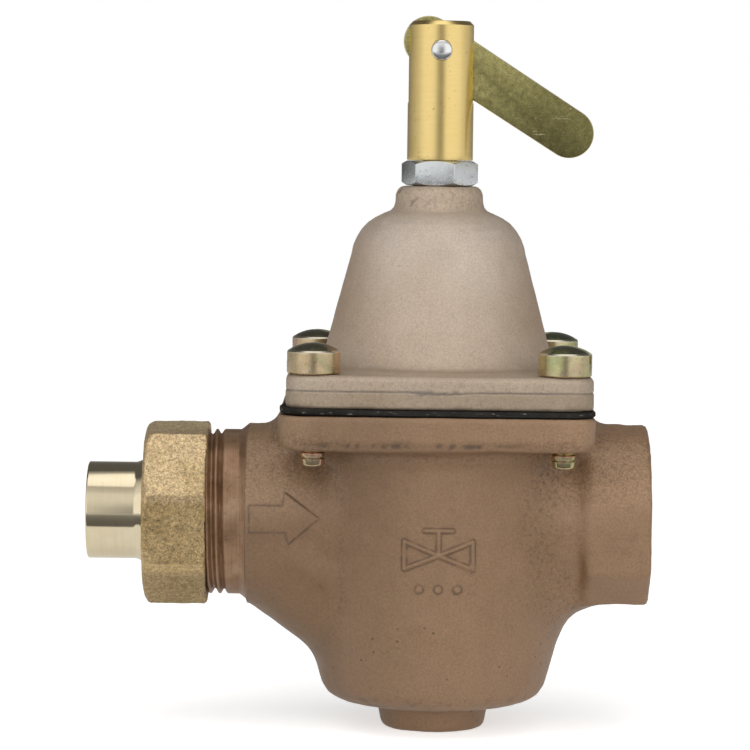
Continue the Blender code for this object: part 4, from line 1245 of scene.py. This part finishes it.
def make_diaphragm():
    """The clamped sheet outside the plates: its edge stands a little proud, wanders, and lifts at the front left corner."""
    n, rings, start = 360, 52, 17.35
    th = np.linspace(0, 2 * math.pi, n, endpoint=False)
    half, rad = 29.4, 5.6
    # distance from the centre to the rounded square, along each direction
    lo, hi = np.full(n, 20.0), np.full(n, 45.0)
    for _ in range(40):
        mid = (lo + hi) / 2
        inside = square_sd(mid * np.cos(th), mid * np.sin(th), half, rad) < 0
        lo, hi = np.where(inside, mid, lo), np.where(inside, hi, mid)
    R = (lo + hi) / 2
    Q = np.stack([R * np.cos(th), R * np.sin(th), np.zeros(n)], 1)
    R = R + 0.12 * noise3(Q, 7, 61) + 0.05 * noise3(Q, 1.5, 62) + 0.55 * np.exp(-(((np.degrees(th) - 217.0) / 9.0) ** 2))
    corner = np.exp(-(((np.degrees(th) % 360 - 225 + 180) % 360 - 180) / 16.0) ** 2)
    left = np.exp(-(((np.degrees(th) % 360 - 200 + 180) % 360 - 180) / 22.0) ** 2)
    top, bottom = [], []
    for s in np.concatenate([np.linspace(0.0, 0.75, 24), np.linspace(0.76, 1.0, rings - 24)]):
        t = (start + (R - start) * s) / R
        x, y = R * t * np.cos(th), R * t * np.sin(th)
        k = np.clip((t - 0.965) / 0.035, 0, 1)
        curl = corner * 0.5 * k**1.5 + left * 0.1 * k
        wave = 0.05 * noise3(np.stack([x, y, np.zeros(n)], 1), 6, 63) * k
        edge = np.sqrt(np.maximum(1 - np.clip((t - 0.975) / 0.025, 0, 1) ** 2 * 0.75, 0.05))
        # one roll of slack between the clamped rim and the plates
        rr = R * t
        roll = 1.1 * np.exp(-(((rr - 19.0) / 1.0) ** 2))
        mid = 62.95 + curl + wave + roll
        top.append(np.stack([x, y, mid + 0.62 * edge], -1))
        bottom.append(np.stack([x, y, mid - 0.62 * edge], -1))
    G = np.stack(top + bottom[::-1])
    m = len(G)
    idx = np.arange(m * n).reshape(m, n)
    nxt = np.roll(idx, -1, axis=1)
    quads = np.stack([idx[:-1], nxt[:-1], nxt[1:], idx[1:]], -1).reshape(-1, 4)
    quads = np.concatenate([quads, np.stack([idx[-1], nxt[-1], nxt[0], idx[0]], -1)])
    obj = mesh_object("diaphragm_sheet", G.reshape(-1, 3), quads[:, ::-1] if False else quads)
    bm = bmesh.new()
    bm.from_mesh(obj.data)
    bmesh.ops.recalc_face_normals(bm, faces=bm.faces)
    bm.to_mesh(obj.data)
    bm.free()
    P = points_of(obj)
    ply = step(0.45, 0.1, np.abs(P[:, 2] - 63.05)) * (square_sd(P[:, 0], P[:, 1], 28.6, rad) > 0)
    holes = [cylinder("hole", 2.7, 60, 66, "Z", (sx * SCREW_AT, sy * SCREW_AT, 0), 32) for sx in (-1, 1) for sy in (-1, 1)]
    add_values(obj, "ply", ply)
    cut(obj, *holes)
    return smooth(obj, 40)


def make_diaphragm_centre():
    """The part of the sheet held between the two plates; it travels with them."""
    return smooth(turned("diaphragm_centre", [(1.8, 62.33), (17.12, 62.33), (17.12, 63.57), (1.8, 63.57)], "Z", 96, ring=True), 40)


def make_strainer():
    """A fine screen basket in a thin rim, closed at its inner end."""
    parts = [turned("strainer_screen", [(8.8, -48.4), (10.9, -48.4), (10.9, -47.6), (9.4, -47.6), (9.4, -46.4), (8.8, -46.4)], "X", 72, (0, 0, PORT), ring=True)]
    parts.append(turned("foot", [(8.6, -39.7), (9.4, -39.7), (9.4, -38.9), (8.6, -38.9)], "X", 72, (0, 0, PORT), ring=True))
    for i in range(40):
        a = 2 * math.pi * i / 40
        p = [(x, 9.1 * math.cos(a), 9.1 * math.sin(a) + PORT) for x in np.linspace(-46.6, -39.3, 4)]
        parts.append(tube("w", p, 0.14, 6))
    for x in np.linspace(-45.8, -40.3, 7):
        p = [(x, 9.1 * math.cos(a), 9.1 * math.sin(a) + PORT) for a in np.linspace(0, 2 * math.pi, 49)]
        parts.append(tube("r", p, 0.14, 6))
    for q in np.arange(-8.0, 8.1, 1.0):
        half = math.sqrt(max(9.0**2 - q * q, 0.1))
        parts.append(tube("a", [(-39.25, q, PORT - half), (-39.25, q, PORT), (-39.25, q, PORT + half)], 0.13, 6))
        parts.append(tube("b", [(-39.4, -half, q + PORT), (-39.4, 0, q + PORT), (-39.4, half, q + PORT)], 0.13, 6))
    return joined(parts)


# ------------------------------------------------------------------ build everything
piece(make_body(), "root", "cast", "cast_bronze", "body")
piece(make_union_thread(), "root", "machined", "cast_bronze")
piece(make_outlet_thread(), "root", "machined", "cast_bronze")
piece(make_bell(), "root", "bell", "housing_bronze", "spring_housing")
piece(make_diaphragm(), "root", "rubber", "rubber", "diaphragm")
piece(make_diaphragm_centre(), "stem", "rubber", "rubber")
for name, x, y, angle in (
    ("cover_screw_front_left", -SCREW_AT, -SCREW_AT, 2.0),
    ("cover_screw_front_right", SCREW_AT, -SCREW_AT, -22.0),
    ("cover_screw_rear_left", -SCREW_AT, SCREW_AT, -38.0),
    ("cover_screw_rear_right", SCREW_AT, SCREW_AT, 40.0),
):
    piece(make_cover_screw(name + "_skin", x, y, angle), "root", "yellow", "yellow_zinc", name)
piece(make_lock_nut(), "lock_nut", "zinc", "zinc_plate", "lock_nut")
piece(make_post(), "adjusting_screw", "post", "turned_brass", "adjusting_screw")
piece(make_adjusting_thread(), "adjusting_screw", "post", "turned_brass")
piece(make_lever(), "lever", "lever", "lever_brass", "lever")
piece(make_pin(), "adjusting_screw", "rivet", "steel", "lever_pin")
piece(make_rod(), "stem", "steel", "steel", "push_rod")
piece(make_union_nut(), "union_nut", "union", "union_brass", "union_nut")
piece(make_tailpiece(), "tailpiece", "tail", "tail_brass", "union_tailpiece")
piece(make_strainer(), "root", "steel_x", "steel", "inlet_strainer")
spring = tube("range_spring_wire", helix(11.0, 1.15, 65.8, 86.2, 5.5), 1.15, 16)
dress(spring, "steel")
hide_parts("range_spring")
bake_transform(spring)
low = tube("disc_spring_wire", helix(4.6, 0.4, 8.35, 22.9, 6), 0.4, 12)
dress(low, "steel")
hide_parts("disc_spring")
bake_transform(low)
wire = helix(2.4, 0.22, 0, 3.45, 3.5, 32)
wire = np.stack([wire[:, 2] - 34.55, wire[:, 1], -wire[:, 0] + PORT], 1)
check = tube("check_spring_wire", wire, 0.22, 10)
dress(check, "steel_x")
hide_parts("check_spring")
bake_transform(check)

for name, key in {
    "union_gasket": "fibre", "check_cage": "acetal", "check_poppet": "rubber_plain", "seat_ring": "inner_brass", "valve_disc": "rubber_plain",
    "disc_holder": "inner_brass", "valve_stem": "steel", "lower_diaphragm_plate": "inner_brass", "upper_diaphragm_plate": "steel",
    "diaphragm_nut": "steel", "spring_button": "steel",
}.items():
    node = frame["nodes"][name]
    if not node.material_slots:
        node.data.materials.append(M[key])
    for one in node.material_slots:
        one.material = M[key]


# ------------------------------------------------------------------ floor, light and camera
def stage_disc(name, radii, height, paint):
    n = 96
    th = np.linspace(0, 2 * math.pi, n, endpoint=False)
    V = [(0.0, 0.0, height)] + [(r * math.cos(a), r * math.sin(a), height) for r in radii for a in th]
    faces = [(0, 1 + i, 1 + (i + 1) % n) for i in range(n)]
    for q in range(len(radii) - 1):
        for i in range(n):
            a, b = 1 + q * n + i, 1 + q * n + (i + 1) % n
            faces.append((a, a + n, b + n, b))
    mesh = bpy.data.meshes.new(name)
    mesh.from_pydata([Vector(v) * MM for v in V], [], faces)
    mesh.update()
    obj = link(name, mesh)
    obj.data.materials.append(paint)
    return obj


def floor():
    """A white table, a little lit from within so that only a soft contact shadow shows on it."""
    s = Shade("floor", rough=0.9)
    path = s.t.nodes.new("ShaderNodeLightPath").outputs["Is Camera Ray"]
    tone = s.ramp(s.noise(60, 2), (0.3, 0.9), (0.7, 0.91))
    s.b.inputs["Specular IOR Level"].default_value = 0.1
    s.b.inputs["Emission Color"].default_value = (1, 1, 1, 1)
    s.put(s.b.inputs["Emission Strength"], s.math("MULTIPLY_ADD", path, 0.27, 0.3))
    stage_disc("floor", [40, 120, 300, 700, 1600], 0.0, s.done(s.mix(path, (0.62, 0.62, 0.61), tone)))
    # a dark card on the table in front, which only reflections see
    d = Shade("card", rough=1.0)
    far = d.math("MULTIPLY", d.axis(1), -1.0)
    d.b.inputs["Specular IOR Level"].default_value = 0.0
    mesh = bpy.data.meshes.new("card")
    mesh.from_pydata([(-2.6, -2.8, 0.001), (2.6, -2.8, 0.001), (2.6, -0.062, 0.001), (-2.6, -0.062, 0.001)], [], [(0, 1, 2, 3)])
    # farther out it carries on the two side lights down to the table
    turn = d.math("MULTIPLY_ADD", d.math("ARCTAN2", d.math("ADD", d.axis(0), 0.035), far), 1 / (2 * math.pi), 0.5, True)
    lit = d.ramp(turn, *[(a / 360 + 0.5, (max(v - 0.3, 0.0),) * 3) for a, v in AROUND if -100 < a < 100])
    reach = d.ramp(d.math("POWER", d.math("ADD", d.math("MULTIPLY", far, far), d.math("MULTIPLY", d.axis(0), d.axis(0))), 0.5), (0.3, 0.0), (1.0, 1.0))
    d.b.inputs["Emission Color"].default_value = (1, 1, 1, 1)
    d.put(d.b.inputs["Emission Strength"], d.math("MULTIPLY", lit, reach))
    mesh.update()
    card = link("card", mesh)
    card.data.materials.append(d.done(d.ramp(far, (0.06, 0.14), (0.16, 0.2), (0.5, 0.32), (1.0, 0.38))))
    card.visible_camera = False
    card.visible_shadow = False
    card.visible_diffuse = False


AROUND = [
    (-180, 0.28), (-150, 0.19), (-123, 0.35), (-99, 0.54), (-79, 0.76), (-62, 1.03), (-46, 1.18), (-33, 1.15), (-22, 0.96), (-13, 0.62), (-6, 0.36), (0, 0.3),
    (6, 0.37), (11, 0.62), (17, 0.96), (25, 1.15), (39, 1.23), (54, 1.16), (70, 0.96), (88, 0.73), (110, 0.56), (126, 0.4), (142, 0.25), (165, 0.27), (180, 0.28),
]


def world():
    w = bpy.data.worlds.new("studio")
    bpy.context.scene.world = w
    w.use_nodes = True
    t = w.node_tree
    for n in list(t.nodes):
        t.nodes.remove(n)
    new, connect = t.nodes.new, t.links.new

    def maths(kind, a, b=None, c=None, clamp=False):
        n = new("ShaderNodeMath")
        n.operation = kind
        n.use_clamp = clamp
        for i, v in enumerate((a, b, c)):
            if isinstance(v, bpy.types.NodeSocket):
                connect(v, n.inputs[i])
            elif v is not None:
                n.inputs[i].default_value = v
        return n.outputs[0]

    def ramp(fac, stops):
        n = new("ShaderNodeValToRGB")
        connect(fac, n.inputs["Fac"])
        n.color_ramp.interpolation = "B_SPLINE" if len(stops) > 12 else "EASE"
        e = n.color_ramp.elements
        while len(e) > 1:
            e.remove(e[-1])
        for i, (p, c) in enumerate(stops):
            if i == 0:
                e[0].position, e[0].color = p, (c, c, c, 1)
            else:
                e.new(p).color = (c, c, c, 1)
        return n.outputs["Color"]

    def smoothstep(x, lo, hi):
        n = new("ShaderNodeMapRange")
        n.interpolation_type = "SMOOTHSTEP"
        connect(x, n.inputs["Value"])
        n.inputs["From Min"].default_value = lo
        n.inputs["From Max"].default_value = hi
        return n.outputs["Result"]

    def mix(fac, a, b):
        n = new("ShaderNodeMix")
        n.data_type = "FLOAT"
        connect(fac, n.inputs[0])
        for i, v in ((2, a), (3, b)):
            if isinstance(v, bpy.types.NodeSocket):
                connect(v, n.inputs[i])
            else:
                n.inputs[i].default_value = v
        return n.outputs[0]

    coord = new("ShaderNodeTexCoord").outputs["Generated"]
    split = new("ShaderNodeSeparateXYZ")
    connect(coord, split.inputs[0])
    x, y, z = split.outputs
    flat = maths("SQRT", maths("MAXIMUM", maths("SUBTRACT", 1.0, maths("MULTIPLY", z, z)), 1e-4))
    front = maths("DIVIDE", maths("MULTIPLY", y, -1.0), flat)  # 1 towards the front, -1 behind
    turn = maths("ARCTAN2", x, maths("MULTIPLY", y, -1.0))
    turn = maths("MULTIPLY_ADD", turn, 1 / (2 * math.pi), 0.5, True)
    # two broad side lights with a gap between them at the front, falling off behind
    around = ramp(turn, [(a / 360 + 0.5, v) for a, v in AROUND])
    el = lambda a: math.sin(math.radians(a))
    up = maths("MAXIMUM", z, 0.0)
    above_front = ramp(up, [(0.0, 0.8), (el(40), 0.78), (el(54), 0.55), (el(60), 0.48), (el(64), 1.15), (1.0, 1.25)])
    side = maths("MULTIPLY", around, smoothstep(z, el(58), el(30)))
    above_front = maths("MAXIMUM", above_front, side)
    above_back = ramp(up, [(0.0, 0.3), (el(12), 0.12), (el(66), 0.1), (el(74), 0.4), (el(79), 1.15), (1.0, 1.25)])
    above = mix(smoothstep(front, -0.25, 0.25), above_back, above_front)
    value = mix(smoothstep(z, el(4), el(32)), around, above)
    value = mix(smoothstep(z, -0.02, -0.2), value, 0.6)
    path = new("ShaderNodeLightPath")
    light = new("ShaderNodeBackground")
    connect(value, light.inputs["Strength"])
    light.inputs["Color"].default_value = (1.0, 0.995, 0.985, 1)
    plain_back = new("ShaderNodeBackground")
    plain_back.inputs["Color"].default_value = (1, 1, 1, 1)
    plain_back.inputs["Strength"].default_value = 1.0
    blend = new("ShaderNodeMixShader")
    connect(path.outputs["Is Camera Ray"], blend.inputs[0])
    connect(light.outputs[0], blend.inputs[1])
    connect(plain_back.outputs[0], blend.inputs[2])
    out = new("ShaderNodeOutputWorld")
    connect(blend.outputs[0], out.inputs["Surface"])


def area(name, at, look, size, power, colour=(1, 1, 1)):
    data = bpy.data.lights.new(name, "AREA")
    data.shape = "RECTANGLE"
    data.size, data.size_y = size
    data.energy = power
    data.color = colour
    obj = bpy.data.objects.new(name, data)
    bpy.context.scene.collection.objects.link(obj)
    obj.location = at
    obj.rotation_euler = (Vector(look) - Vector(at)).to_track_quat("-Z", "Y").to_euler()
    obj.visible_camera = False
    return obj


def camera():
    focal, distance = 3610.6, 0.700
    aim = Vector((-0.01201, 0.0, 0.02685 + PORT * MM))
    yaw, pitch, roll = (math.radians(a) for a in (0.094, 3.783, 0.717))
    f = Vector((math.sin(yaw) * math.cos(pitch), math.cos(yaw) * math.cos(pitch), -math.sin(pitch)))
    r = f.cross(Vector((0, 0, 1))).normalized()
    u = r.cross(f)
    r2 = r * math.cos(roll) + u * math.sin(roll)
    u2 = u * math.cos(roll) - r * math.sin(roll)
    data = bpy.data.cameras.new("camera")
    data.sensor_width = 36.0
    data.lens = focal / 750.0 * 36.0
    data.clip_start = 0.01
    obj = bpy.data.objects.new("camera", data)
    bpy.context.scene.collection.objects.link(obj)
    m = Matrix((r2, u2, -f)).transposed().to_4x4()
    m.translation = aim - f * distance
    obj.matrix_world = m
    bpy.context.scene.camera = obj


floor()
world()
area("key_top", (-0.10, -0.30, 0.60), (0, 0, 0.06), (0.6, 0.5), 0.9).visible_glossy = False
area("fill_front", (0.0, -0.62, 0.17), (0, 0, 0.06), (0.6, 0.4), 1.7).visible_glossy = False
camera()
bpy.context.scene.view_settings.view_transform = "Standard"
bpy.context.scene.view_settings.look = "None"
